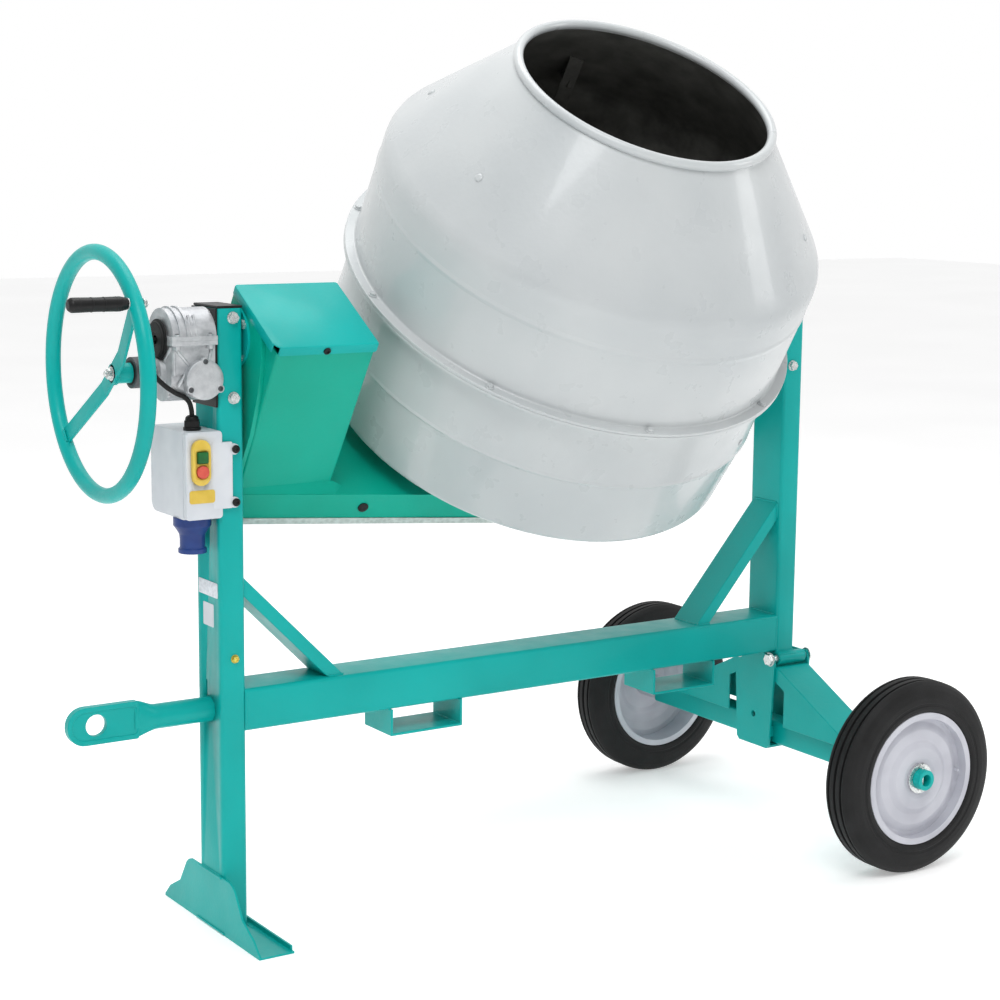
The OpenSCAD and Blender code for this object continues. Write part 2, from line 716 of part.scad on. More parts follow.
module bearing_housing() {
  color("gray") tilted() difference() {
    union() {
      rod_z(belt_s + 4, case_top + 8, drum_x, drum_v, 45);
      rod_z(case_top, case_top + 8, drum_x, drum_v, 75);
      for (a = [45 : 90 : 315]) hex_z(case_top + 8 - e, case_top + 15,
        drum_x + 62 * cos(a), drum_v + 62 * sin(a), 17);
    }
    rod_z(belt_s - 10, case_top + 30, drum_x, drum_v, 25.05);
  }
}
module belt_plan(g) {
  hull() {
    translate([motor_x, motor_v]) circle(r = 30 + g, $fn = 64);
    translate([drum_x, drum_v]) circle(r = 152 + g, $fn = 128);
  }
}
module drive_belt() {
  color("black") tilted() translate([0, 0, belt_s - 15]) linear_extrude(8) difference() {
    belt_plan(6);
    belt_plan(-1);
  }
}

// Drum
module drum_lower() {
  r = drum_r;
  t = drum_t;
  color("gainsboro") drum_axis() difference() {
    rotate_extrude($fn = 144) polygon([[30, -229], [r - 32, -229], [r - 20, -225], [r - 14, -214], [r - 2, -77],
      [r + 1.5, -75], [r + 1.5, -69], [r, -67], [r, 61], [flange_r, 61], [flange_r, 66.9], [r - t, 66.9],
      [r - t, -70], [r - 6, -77], [r - 14 - t, -212], [r - 24, -221], [r - 34, -225], [30, -225]]);
    for (a = [20 : 40 : 340]) rotate([0, 0, a]) rod_z(60, 68, flange_r - 11, 0, 4.5);
  }
  color("gainsboro") drum_axis() {
    for (a = [45 : 90 : 315]) rotate([0, 0, a]) hex_z(-225 - e, -217, 56, 0, 17);
  }
}
module drum_upper() {
  r = drum_r;
  t = drum_t;
  color("gainsboro") drum_axis() {
    difference() {
      rotate_extrude($fn = 144) polygon([[r - t, 67.1], [flange_r, 67.1], [flange_r, 73], [r, 73], [r, 221],
        [r + 2, 223], [r + 2, 227], [r, 229], [r, 276], [r - 3, 292], [r - 12, 308], [mouth_r + 10, mouth_s - 6],
        [mouth_r + 7, mouth_s - 9], [r - 15.5, 305], [r - 7, 290.5], [r - t, 276]]);
      for (a = [20 : 40 : 340]) rotate([0, 0, a]) rod_z(66, 74, flange_r - 11, 0, 4.5);
      translate([0, 0, mouth_s]) rotate_extrude($fn = 144) translate([mouth_r + 9, 0]) circle(r = 9, $fn = 32);
    }
    for (a = [20 : 40 : 340]) rotate([0, 0, a]) {
      rod_z(59, 75, flange_r - 11, 0, 4.4);
      hex_z(73 - e, 78, flange_r - 11, 0, 12);
      hex_z(56, 60.9, flange_r - 11, 0, 12);
    }
  }
}
module drum_rim() {
  color("gainsboro") drum_axis() translate([0, 0, mouth_s]) rotate_extrude($fn = 144)
    translate([mouth_r + 9, 0]) circle(r = 9, $fn = 32);
}
// Space inside the drum
module inside() {
  r = drum_r;
  t = drum_t;
  rotate_extrude($fn = 144) polygon([[0, -225], [r - 34, -225], [r - 24, -221], [r - 14 - t, -212],
    [r - 6, -77], [r - t, -70], [r - t, 276], [r - 7, 290.5], [r - 15.5, 305],
    [mouth_r + 7, mouth_s - 9], [0, mouth_s - 9]]);
}
// Mixing blade: a slanted paddle on brackets, carried on upwards by a flat bar
module blade(turn) {
  color("lightgray") drum_axis() rotate([0, 0, turn]) intersection() {
    inside();
    union() {
      translate([372, 0, 20]) rotate([-38, 0, 0]) {
        span([-4, -42, -210], [4, 42, 220]);
        for (z = [-150, 0, 150]) span([0, -10, z - 10], [90, 10, z + 10]);
      }
      translate([368, 118, 170]) rotate([0, -14, 0]) span([-4, -14, 0], [4, 14, 240]);
      rotate([0, 0, 19.5]) span([338, -4, 335], [420, 4, 363]);
    }
  }
}
module blade_a() {
  blade(56);
}
module blade_b() {
  blade(236);
}
module drum_shaft() {
  color("gray") drum_axis() {
    rod_z(belt_s - 24, -229, 0, 0, 25);
    rod_z(-242, -229, 0, 0, 78);
    hex_z(belt_s - 29, belt_s - 22, 0, 0, 38);
  }
}
module drum_pulley() {
  color("silver") drum_axis() translate([0, 0, belt_s - 22]) difference() {
    pulley_solid(160, 22);
    translate([0, 0, -1]) cylinder(h = 24, r = 25);
    for (a = [0 : 60 : 300]) rotate([0, 0, a]) translate([90, 0, -1]) cylinder(h = 24, r = 30);
  }
}

// Draw the chosen node
post_left();
post_right();
main_beam();
brace_left();
brace_right();
foot();
pocket_left();
pocket_right();
axle_beam();
axle_column();
strut_near();
strut_far();
axle_pins();
block_left();
block_right();
cap_left();
cap_right();
gearbox_plate();
gearbox_lower();
gearbox_upper();
gearbox_cap();
switch_body();
switch_front();
switch_bezel();
power_inlet();
cable_gland();
cable_grommet();
motor_cable();
retainer_near();
retainer_far();
tow_bar();
handwheel();
wheel_shaft();
wheel_grip();
start_button();
stop_button();
rim_near();
tyre_near();
rim_far();
tyre_far();
cradle_plate();
trunnion_left();
tilt_gear();
cover_box();
cover_lid();
belt_casing();
bottom_cover();
cradle_arm();
trunnion_right();
motor();
motor_pulley();
bearing_housing();
drive_belt();
drum_lower();
drum_upper();
drum_rim();
blade_a();
blade_b();
drum_shaft();
drum_pulley();
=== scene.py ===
import json
import math

import bpy
from mathutils import Matrix, Vector


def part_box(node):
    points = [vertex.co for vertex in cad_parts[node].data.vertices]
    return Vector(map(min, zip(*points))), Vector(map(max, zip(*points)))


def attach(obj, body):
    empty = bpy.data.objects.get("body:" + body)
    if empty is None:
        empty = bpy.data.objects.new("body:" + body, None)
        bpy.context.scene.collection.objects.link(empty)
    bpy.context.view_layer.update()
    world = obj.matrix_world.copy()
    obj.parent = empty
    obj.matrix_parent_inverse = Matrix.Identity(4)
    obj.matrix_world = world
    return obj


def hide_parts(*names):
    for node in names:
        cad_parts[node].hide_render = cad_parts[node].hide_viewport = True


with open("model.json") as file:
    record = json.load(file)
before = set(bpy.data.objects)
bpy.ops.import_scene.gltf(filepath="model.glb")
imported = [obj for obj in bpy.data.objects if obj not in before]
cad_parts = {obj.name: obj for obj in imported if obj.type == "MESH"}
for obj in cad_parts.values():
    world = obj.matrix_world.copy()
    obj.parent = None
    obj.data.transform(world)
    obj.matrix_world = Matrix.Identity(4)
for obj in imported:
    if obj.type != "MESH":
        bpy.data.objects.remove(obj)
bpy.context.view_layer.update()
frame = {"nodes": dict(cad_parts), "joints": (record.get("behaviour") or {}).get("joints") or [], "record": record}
nodes = frame["nodes"]
bpy.ops.object.select_all(action="DESELECT")
print("frame loaded")

mm = 0.001

# camera: a 77 mm lens from the hand wheel side, a little above the pivot, rolled by half a degree
cameraSet = {
    "target": (0.023, 0.0, 0.763),
    "azimuth": 33.04,
    "elevation": 9.12,
    "roll": 0.574,
    "distance": 4.2745,
    "lens": 77.42,
}


def addCamera(settings):
    turn = Matrix.Rotation(math.radians(-settings["azimuth"]), 4, "Z")
    nod = Matrix.Rotation(math.radians(90 - settings["elevation"]), 4, "X")
    roll = Matrix.Rotation(math.radians(settings["roll"]), 4, "Z")
    look = turn @ nod @ roll
    back = (turn @ nod).to_3x3() @ Vector((0, 0, 1))
    bpy.ops.object.camera_add()
    camera = bpy.context.object
    camera.data.sensor_width = 36
    camera.data.lens = settings["lens"]
    camera.matrix_world = Matrix.Translation(Vector(settings["target"]) + back * settings["distance"]) @ look
    bpy.context.scene.camera = camera


addCamera(cameraSet)
print("camera set")


def colour(code):
    parts = [int(code[i : i + 2], 16) / 255 for i in (1, 3, 5)]
    return tuple(c / 12.92 if c <= 0.04045 else ((c + 0.055) / 1.055) ** 2.4 for c in parts) + (1.0,)


def scaleFor(size):
    return 1000 / size  # texture scale for a feature of that many millimetres on Object coordinates


def addNode(tree, kind, settings=None, links=None):
    node = tree.nodes.new(kind)
    for name, value in (settings or {}).items():
        if name in node.inputs:
            node.inputs[name].default_value = value
        else:
            setattr(node, name, value)
    for name, source in (links or {}).items():
        tree.links.new(source, node.inputs[name])
    return node


def newMaterial(name, surface):
    material = bpy.data.materials.new(name)
    material.use_nodes = True
    tree = material.node_tree
    tree.nodes.clear()
    shader = addNode(tree, "ShaderNodeBsdfPrincipled", surface)
    addNode(tree, "ShaderNodeOutputMaterial", {}, {"Surface": shader.outputs["BSDF"]})
    place = addNode(tree, "ShaderNodeTexCoord").outputs["Object"]
    return material, tree, shader, place


def dress(tree, shader, s, tint, gloss, relief, depth, edges=(0.35, 0.65)):
    # a surface from three patterns: one drifts the colour, one the roughness, and one stands up in relief
    ramp = addNode(tree, "ShaderNodeValToRGB", {}, {"Fac": tint})
    for element, position, shade in zip(ramp.color_ramp.elements, edges, (s["dark"], s["light"])):
        element.position = position
        element.color = colour(shade)
    tree.links.new(ramp.outputs["Color"], shader.inputs["Base Color"])
    low, high = s["roughness"]
    reach = {"From Min": 0.3, "From Max": 0.7, "To Min": low, "To Max": high}
    sheen = addNode(tree, "ShaderNodeMapRange", reach, {"Value": gloss})
    tree.links.new(sheen.outputs["Result"], shader.inputs["Roughness"])
    bump = addNode(tree, "ShaderNodeBump", {"Strength": 1.0, "Distance": depth * mm}, {"Height": relief})
    tree.links.new(bump.outputs["Normal"], shader.inputs["Normal"])


# Sprayed enamel: smooth and glossy, with a faint orange peel, drawn coarser than the real 1 to 2 mm so
# that it shows, and slow drifts of colour and gloss from the spraying.
def enamel(name, s):
    surface = {"Specular IOR Level": s["shine"], "Coat Weight": s["coat"], "Coat Roughness": 0.08}
    material, tree, shader, place = newMaterial(name, surface)
    patterns = []
    for size, detail in ((s["driftMm"], 2.0), (s["driftMm"] / 6, 4.0), (s["peelMm"], 1.0)):
        look = {"Scale": scaleFor(size), "Detail": detail}
        patterns.append(addNode(tree, "ShaderNodeTexNoise", look, {"Vector": place}).outputs["Fac"])
    dress(tree, shader, s, *patterns, s["peelDepth"])
    return material


framePaint = enamel("framePaintEnamel", {
    "dark": "#009F9A", "light": "#02AAA5", "driftMm": 260, "roughness": (0.33, 0.45), "shine": 0.2,
    "coat": 0.06, "peelMm": 7, "peelDepth": 0.25,
})
cradlePaint = enamel("cradlePaintEnamel", {
    "dark": "#009E87", "light": "#01A992", "driftMm": 240, "roughness": (0.33, 0.45), "shine": 0.2,
    "coat": 0.06, "peelMm": 7, "peelDepth": 0.25,
})
drumPaint = enamel("drumPaintEnamel", {
    "dark": "#B4B9BB", "light": "#C0C4C5", "driftMm": 300, "roughness": (0.25, 0.37), "shine": 0.4,
    "coat": 0.35, "peelMm": 9, "peelDepth": 0.2,
})
rimPaint = enamel("rimPaintSilver", {
    "dark": "#B6B7C0", "light": "#C6C7CF", "driftMm": 90, "roughness": (0.4, 0.52), "shine": 0.35,
    "coat": 0.1, "peelMm": 4, "peelDepth": 0.15,
})
motorPaint = enamel("motorPaintGrey", {
    "dark": "#3B4044", "light": "#4A5055", "driftMm": 120, "roughness": (0.45, 0.57), "shine": 0.4,
    "coat": 0.0, "peelMm": 5, "peelDepth": 0.3,
})


# Sand-cast aluminium and grey iron: a grainy skin from the mould, dull, and darker in patches where it
# was not shot-blasted
def castMetal(name, s):
    material, tree, shader, place = newMaterial(name, {"Metallic": s["metallic"]})
    patterns = []
    for size, detail, rough in ((s["patchMm"], 5.0, 0.6), (s["grainMm"], 3.0, 0.7)):
        look = {"Scale": scaleFor(size), "Detail": detail, "Roughness": rough}
        patterns.append(addNode(tree, "ShaderNodeTexNoise", look, {"Vector": place}).outputs["Fac"])
    patches, grain = patterns
    dress(tree, shader, s, patches, patches, grain, s["grainDepth"], (0.3, 0.7))
    return material


castAluminium = castMetal("castAluminium", {
    "dark": "#A3A6AA", "light": "#D2D3D5", "metallic": 0.55, "roughness": (0.38, 0.56), "patchMm": 30,
    "grainMm": 2.4, "grainDepth": 0.5,
})
castIron = castMetal("castIronGrey", {
    "dark": "#4A4C4E", "light": "#66686B", "metallic": 0.6, "roughness": (0.47, 0.65), "patchMm": 25,
    "grainMm": 2.5, "grainDepth": 0.5,
})


# Zinc-plated, machined and galvanised steel: a bare metal whose lustre breaks up in soft spangles
def bareSteel(name, s):
    material, tree, shader, place = newMaterial(name, {"Metallic": s["metallic"]})
    spangle = addNode(tree, "ShaderNodeTexVoronoi", {"Scale": scaleFor(s["spangleMm"])}, {"Vector": place})
    blotch = {"Scale": scaleFor(s["spangleMm"] * 2), "Detail": 4.0}
    cloud = addNode(tree, "ShaderNodeTexNoise", blotch, {"Vector": place}).outputs["Fac"]
    mix = addNode(tree, "ShaderNodeMath", {"operation": "ADD"})
    tree.links.new(spangle.outputs["Distance"], mix.inputs[0])
    tree.links.new(cloud, mix.inputs[1])
    half = addNode(tree, "ShaderNodeMath", {"operation": "MULTIPLY"})
    half.inputs[1].default_value = 0.5
    tree.links.new(mix.outputs[0], half.inputs[0])
    dress(tree, shader, s, half.outputs[0], half.outputs[0], cloud, 0.1, (0.3, 0.7))
    return material


zincSteel = bareSteel(
    "zincPlatedSteel",
    {"dark": "#B9BCBC", "light": "#E2E4E2", "metallic": 0.9, "roughness": (0.22, 0.38), "spangleMm": 3},
)
yellowZinc = bareSteel(
    "yellowPassivatedZinc",
    {"dark": "#B9A238", "light": "#DCCB62", "metallic": 0.7, "roughness": (0.24, 0.4), "spangleMm": 3},
)
galvanised = bareSteel(
    "galvanisedSheet",
    {"dark": "#B3BAB6", "light": "#CFD5D2", "metallic": 0.55, "roughness": (0.36, 0.52), "spangleMm": 9},
)
machinedSteel = bareSteel(
    "machinedSteel",
    {"dark": "#8E9092", "light": "#B4B6B8", "metallic": 1.0, "roughness": (0.26, 0.42), "spangleMm": 2},
)


# Moulded plastic: even colour through the material, a fine spark-eroded grain, soft sheen
def mouldedPlastic(name, s):
    material, tree, shader, place = newMaterial(name, {"Specular IOR Level": 0.32})
    drift = addNode(
        tree, "ShaderNodeTexNoise", {"Scale": scaleFor(s["driftMm"]), "Detail": 2.0}, {"Vector": place},
    )
    spark = {"Scale": scaleFor(s["grainMm"]), "Detail": 2.0, "Roughness": 0.6}
    grain = addNode(tree, "ShaderNodeTexNoise", spark, {"Vector": place}).outputs["Fac"]
    dress(tree, shader, s, drift.outputs["Fac"], grain, grain, s["grainDepth"])
    return material


whiteAbs = mouldedPlastic("whiteAbs", {
    "dark": "#C9CDD3", "light": "#D6D9DE", "driftMm": 80, "grainMm": 1.6, "roughness": (0.38, 0.48),
    "grainDepth": 0.12,
})
yellowPlastic = mouldedPlastic("yellowPolycarbonate", {
    "dark": "#D3B243", "light": "#DFC056", "driftMm": 30, "grainMm": 1.5, "roughness": (0.31, 0.41),
    "grainDepth": 0.1,
})
greenPlastic = mouldedPlastic("greenNylon", {
    "dark": "#175A2A", "light": "#1F6934", "driftMm": 20, "grainMm": 1.2, "roughness": (0.34, 0.44),
    "grainDepth": 0.08,
})
redPlastic = mouldedPlastic("redNylon", {
    "dark": "#C3483C", "light": "#D4594B", "driftMm": 20, "grainMm": 1.2, "roughness": (0.32, 0.42),
    "grainDepth": 0.08,
})
bluePlastic = mouldedPlastic("bluePolyamide", {
    "dark": "#1E3470", "light": "#284281", "driftMm": 40, "grainMm": 1.6, "roughness": (0.32, 0.42),
    "grainDepth": 0.12,
})
blackPlastic = mouldedPlastic("blackPolyamide", {
    "dark": "#0A0A0B", "light": "#121213", "driftMm": 40, "grainMm": 1.6, "roughness": (0.38, 0.48),
    "grainDepth": 0.15,
})
blackRubber = mouldedPlastic("blackRubber", {
    "dark": "#0C0C0C", "light": "#151515", "driftMm": 30, "grainMm": 1.2, "roughness": (0.56, 0.66),
    "grainDepth": 0.15,
})
tyreRubber = mouldedPlastic("tyreRubber", {
    "dark": "#0C0C0D", "light": "#161617", "driftMm": 60, "grainMm": 2.2, "roughness": (0.58, 0.68),
    "grainDepth": 0.3,
})
plateFoil = bareSteel(
    "anodisedPlate",
    {"dark": "#C3C9D0", "light": "#DDE2E8", "metallic": 0.3, "roughness": (0.32, 0.48), "spangleMm": 5},
)


# Inside of the drum: the enamel painted darker and matt, as painted shade for the shaded hollow, its tone drifting
# in blotches
def makeShadedInside(s):
    material, tree, shader, place = newMaterial("drumInsidePaintedShade", {"IOR": 1.45})
    blotchLook = {"Scale": scaleFor(s["blotchMm"]), "Detail": 6.0, "Roughness": 0.65}
    blotchTone = addNode(tree, "ShaderNodeTexNoise", blotchLook, {"Vector": place}).outputs["Fac"]
    dress(tree, shader, s, blotchTone, blotchTone, blotchTone, s["blotchDepth"], (0.35, 0.7))
    return material


shadedInsidePaint = makeShadedInside({
    "dark": "#585855", "light": "#82827E", "roughness": (0.5, 0.75), "blotchMm": 70, "blotchDepth": 0.6,
})
# the paint or metal of each material slot
finishes = {
    "frame_paint": framePaint, "cradle_paint": cradlePaint, "zinc_steel": zincSteel, "cast_iron": castIron,
    "black_plastic": blackPlastic, "black_rubber": blackRubber, "cast_aluminium": castAluminium,
    "white_plastic": whiteAbs, "yellow_plastic": yellowPlastic, "green_plastic": greenPlastic,
    "red_plastic": redPlastic,
    "blue_plastic": bluePlastic, "tyre": tyreRubber, "rim_paint": rimPaint, "sheet_zinc": galvanised,
    "motor_paint": motorPaint, "bright_steel": machinedSteel, "drum_enamel": drumPaint,
}
print("materials made")


def wake(piece):
    if bpy.context.object and bpy.context.object.mode != "OBJECT":
        bpy.ops.object.mode_set(mode="OBJECT")
    bpy.ops.object.select_all(action="DESELECT")
    piece.select_set(True)
    bpy.context.view_layer.objects.active = piece


def settle(piece):
    wake(piece)
    bpy.ops.object.transform_apply(location=True, rotation=True, scale=True)
    return piece


def chooseEdges(piece, test):
    # leaves edit mode on, with only the edges whose two ends pass the test selected
    wake(piece)
    bpy.ops.object.mode_set(mode="EDIT")
    bpy.ops.mesh.select_mode(type="EDGE")
    bpy.ops.mesh.select_all(action="DESELECT")
    bpy.ops.object.mode_set(mode="OBJECT")
    mesh = piece.data
    for edge in mesh.edges:
        a, b = (mesh.vertices[i].co for i in edge.vertices)
        edge.select = test(a, b)
    bpy.ops.object.mode_set(mode="EDIT")


def leaveEdit():
    bpy.ops.object.mode_set(mode="OBJECT")


def smooth(piece, angle=32):
    wake(piece)
    bpy.ops.object.shade_smooth_by_angle(angle=math.radians(angle))
    return piece


def modify(piece, kind, **settings):
    wake(piece)
    modifier = piece.modifiers.new(kind.title(), kind)
    for name, value in settings.items():
        setattr(modifier, name, value)
    bpy.ops.object.modifier_apply(modifier=modifier.name)
    return piece


def soften(piece, width, segments=3, angle=30):
    # rounds every edge sharper than the angle, by a width in millimetres
    return modify(piece, "BEVEL", width=width * mm, segments=segments, limit_method="ANGLE",
                  angle_limit=math.radians(angle), harden_normals=False)


def cut(piece, cutter):
    modify(piece, "BOOLEAN", operation="DIFFERENCE", object=cutter, solver="EXACT")
    bpy.data.objects.remove(cutter)
    return piece


def join(pieces):
    wake(pieces[0])
    for piece in pieces:
        piece.select_set(True)
    bpy.ops.object.join()
    return pieces[0]


# every size and place below is in millimetres

def point(x, y, z):
    return Vector((x, y, z)) * mm


def shift(piece, x, y, z):
    piece.location += point(x, y, z)
    return settle(piece)


def into(piece, matrix):
    piece.matrix_world = matrix @ piece.matrix_world
    return settle(piece)


def aim(place, direction):
    # the matrix that stands a piece made upright at the origin on a place, its Z along direction
    return Matrix.Translation(point(*place)) @ Vector(direction).to_track_quat("Z", "Y").to_matrix().to_4x4()


def roundBox(low, high, radius, segments=3, along=None):
    # a box between two corners; along keeps the rounding to the edges parallel to that axis
    low, high = point(*low), point(*high)
    bpy.ops.mesh.primitive_cube_add(size=1, location=(low + high) / 2, scale=high - low)
    box = settle(bpy.context.object)
    pick = (lambda a, b: True) if along is None else (lambda a, b: abs((a - b)["xyz".index(along)]) > 1e-5)
    chooseEdges(box, pick)
    bpy.ops.mesh.bevel(offset=radius * mm, segments=segments, affect="EDGES")
    leaveEdit()
    return smooth(box)


def filleted(outline, closed=False):
    # turns each corner given as (a, b, radius) into an arc; plain corners stay sharp
    points, count = [], len(outline)
    for i, corner in enumerate(outline):
        here = Vector(corner[:2])
        radius = corner[2] if len(corner) > 2 else 0
        if radius == 0 or (not closed and i in (0, count - 1)):
            points.append(here)
            continue
        before = (Vector(outline[i - 1][:2]) - here).normalized()
        after = (Vector(outline[(i + 1) % count][:2]) - here).normalized()
        half = before.angle(after) / 2
        reach = radius / math.tan(half)
        centre = here + (before + after).normalized() * (radius / math.sin(half))
        first, last = here + before * reach - centre, here + after * reach - centre
        sweep = first.angle(last)
        side = 1 if first.x * last.y - first.y * last.x > 0 else -1
        steps = max(2, round(math.degrees(sweep) / 12))
        for k in range(steps + 1):
            bend = side * sweep * k / steps
            c, s = math.cos(bend), math.sin(bend)
            points.append(centre + Vector((first.x * c - first.y * s, first.x * s + first.y * c)))
    return points


def chain(points, plane, closed):
    # one vertex extruded from point to point, in the XZ plane for a lathe or the XY plane for a plate
    spots = [point(p[0], 0, p[1]) if plane == "XZ" else point(p[0], p[1], 0) for p in points]
    bpy.ops.mesh.primitive_plane_add(size=mm, location=spots[0])
    piece = bpy.context.object
    bpy.ops.object.mode_set(mode="EDIT")
    bpy.ops.mesh.select_mode(type="VERT")
    bpy.ops.mesh.select_all(action="SELECT")
    bpy.ops.mesh.merge(type="CENTER")
    ends = spots + spots[:1] if closed else spots
    for a, b in zip(ends, ends[1:]):
        bpy.ops.mesh.extrude_region_move(TRANSFORM_OT_translate={"value": b - a})
    bpy.ops.mesh.select_all(action="SELECT")
    bpy.ops.mesh.remove_doubles(threshold=1e-6)
    leaveEdit()
    return settle(piece)


def lathe(outline, steps=64, closed=False, sharp=32):
    # outline of (radius, height[, fillet]) spun about Z
    piece = chain(filleted(outline, closed), "XZ", closed)
    wake(piece)
    bpy.ops.object.mode_set(mode="EDIT")
    bpy.ops.mesh.select_all(action="SELECT")
    bpy.ops.mesh.spin(steps=steps, angle=math.tau, center=(0, 0, 0), axis=(0, 0, 1))
    bpy.ops.mesh.select_all(action="SELECT")
    bpy.ops.mesh.remove_doubles(threshold=1e-6)
    bpy.ops.mesh.normals_make_consistent(inside=False)
    leaveEdit()
    return smooth(piece, sharp)


def plate(outline, thickness, edge=0.8):
    # outline of (x, y[, fillet]) raised along Z, with its edges broken
    piece = chain(filleted(outline, True), "XY", True)
    wake(piece)
    bpy.ops.object.mode_set(mode="EDIT")
    bpy.ops.mesh.select_all(action="SELECT")
    bpy.ops.mesh.edge_face_add()
    bpy.ops.mesh.extrude_region_move(TRANSFORM_OT_translate={"value": (0, 0, thickness * mm)})
    bpy.ops.mesh.select_all(action="SELECT")
    bpy.ops.mesh.normals_make_consistent(inside=False)
    leaveEdit()
    return smooth(soften(piece, edge, 2, 40) if edge else piece)


def rod(radius, start, end, steps=48, edge=0.0):
    # a round bar from start to end, its ends chamfered by edge
    run = Vector(end) - Vector(start)
    outline = [
        (0, 0), (radius - edge, 0), (radius, edge), (radius, run.length - edge), (radius - edge, run.length),
        (0, run.length),
    ]
    if not edge:
        outline = [(0, 0), (radius, 0), (radius, run.length), (0, run.length)]
    return into(lathe(outline, steps), aim(start, run))


def hexHead(flats, height, washer=0.0, stub=0.0):
    # a hexagon head with its corners turned off, on a washer, standing on Z = 0
    base = 1.8 if washer else 0
    reach = flats * 0.577
    top = base + height
    parts = [
        lathe([(0, base), (reach, base), (reach, base + height * 0.75), (flats * 0.5, top), (0, top)], 6)
    ]
    if washer:
        parts.append(lathe([(0, 0), (washer, 0, 0.4), (washer, base, 0.5), (0, base)], 32))
    if stub:
        wide, tip = flats * 0.3, top + stub
        parts.append(lathe([(0, top), (wide, top), (wide, tip - 1), (flats * 0.25, tip), (0, tip)], 20))
    return smooth(join(parts), 30)


def weldBead(start, end, radius=2.8):
    # a painted fillet weld: overlapping ripples about 5 mm apart
    run = Vector(end) - Vector(start)
    ripples = max(3, round(run.length / 5))
    step = run.length / ripples
    outline = [(0, 0)]
    for k in range(ripples):
        outline += [(radius * 0.78, step * k + 0.2), (radius, step * (k + 0.5))]
    outline += [(0, run.length)]
    return into(lathe(outline, 10, sharp=80), aim(start, run))


def weldRing(centre, direction, reach, radius=2.5):
    # the same weld run round a pipe
    bpy.ops.mesh.primitive_torus_add(
        major_radius=reach * mm, minor_radius=radius * mm, major_segments=72, minor_segments=10,
    )
    ring = bpy.context.object
    for vertex in ring.data.vertices:
        swell = 1 + 0.35 / reach * math.sin(math.atan2(vertex.co.y, vertex.co.x) * reach * 1.1)
        vertex.co.x *= swell
        vertex.co.y *= swell
    return smooth(into(ring, aim(centre, direction)), 80)


def drill(piece, radius, start, end, steps=48):
    return cut(piece, rod(radius, start, end, steps))


def roundedCopy(node, width=1.2, segments=2, flat=0.6, angle=28):
    # a merged copy of a CAD node with its flat faces whole again and its edges broken
    piece = nodes[node].copy()
    piece.data = nodes[node].data.copy()
    for key in [k for k in piece.keys() if k.startswith("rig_")]:
        del piece[key]
    piece.parent = None
    bpy.context.scene.collection.objects.link(piece)
    piece.data.materials.clear()
    wake(piece)
    bpy.ops.object.mode_set(mode="EDIT")
    bpy.ops.mesh.select_all(action="SELECT")
    bpy.ops.mesh.remove_doubles(threshold=1e-5)
    bpy.ops.mesh.dissolve_limited(angle_limit=math.radians(flat))
    leaveEdit()
    if width:
        soften(piece, width, segments, angle)
    # large flat faces set the normals at their corners, so that they shade flat
    return modify(smooth(piece, 40), "WEIGHTED_NORMAL", keep_sharp=True)


def keep(piece, name, body, slotName, *replaced, paint=None):
    # the finished piece: named, painted, riding on its body and standing for its CAD nodes
    settle(piece)
    piece.name = name
    piece.data.materials.clear()
    piece.data.materials.append(paint or finishes[slotName])
    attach(piece, body)
    if replaced:
        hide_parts(*replaced)
    return piece


def line(piece, material, test):
    # paints the faces that pass the test with a second material
    piece.data.materials.append(material)
    for face in piece.data.polygons:
        if test(face.center, face.normal):
            face.material_index = len(piece.data.materials) - 1


def repaint(node, material):
    mesh = nodes[node].data
    mesh.materials.clear()
    mesh.materials.append(material)


joints = {joint["name"]: joint for joint in frame["joints"]}
pivot = Vector(joints["cradle_tilt"]["pos_m"])
drumAxis = Vector(joints["drum_spin"]["axis"])
tiltFrame = Matrix.Translation(pivot) @ Matrix.Rotation(math.atan2(-drumAxis.y, drumAxis.z), 4, "X")
# the drum's own upright frame: its axis is Z and the pivot's height is Z = 0
drumFrame = tiltFrame @ Matrix.Translation(tiltFrame.inverted() @ Vector(joints["drum_spin"]["pos_m"]))


# drum: spun belt, cone and dished bottom, joined at a bolted flange
drumSet = {
    "radius": 440, "sheet": 4, "flange": 460.5, "bead": 225, "shoulder": 294, "mouth": 250,
    "mouthHeight": 520, "rolledRim": 9, "bottom": -229, "steps": 168, "bolts": 9,
}


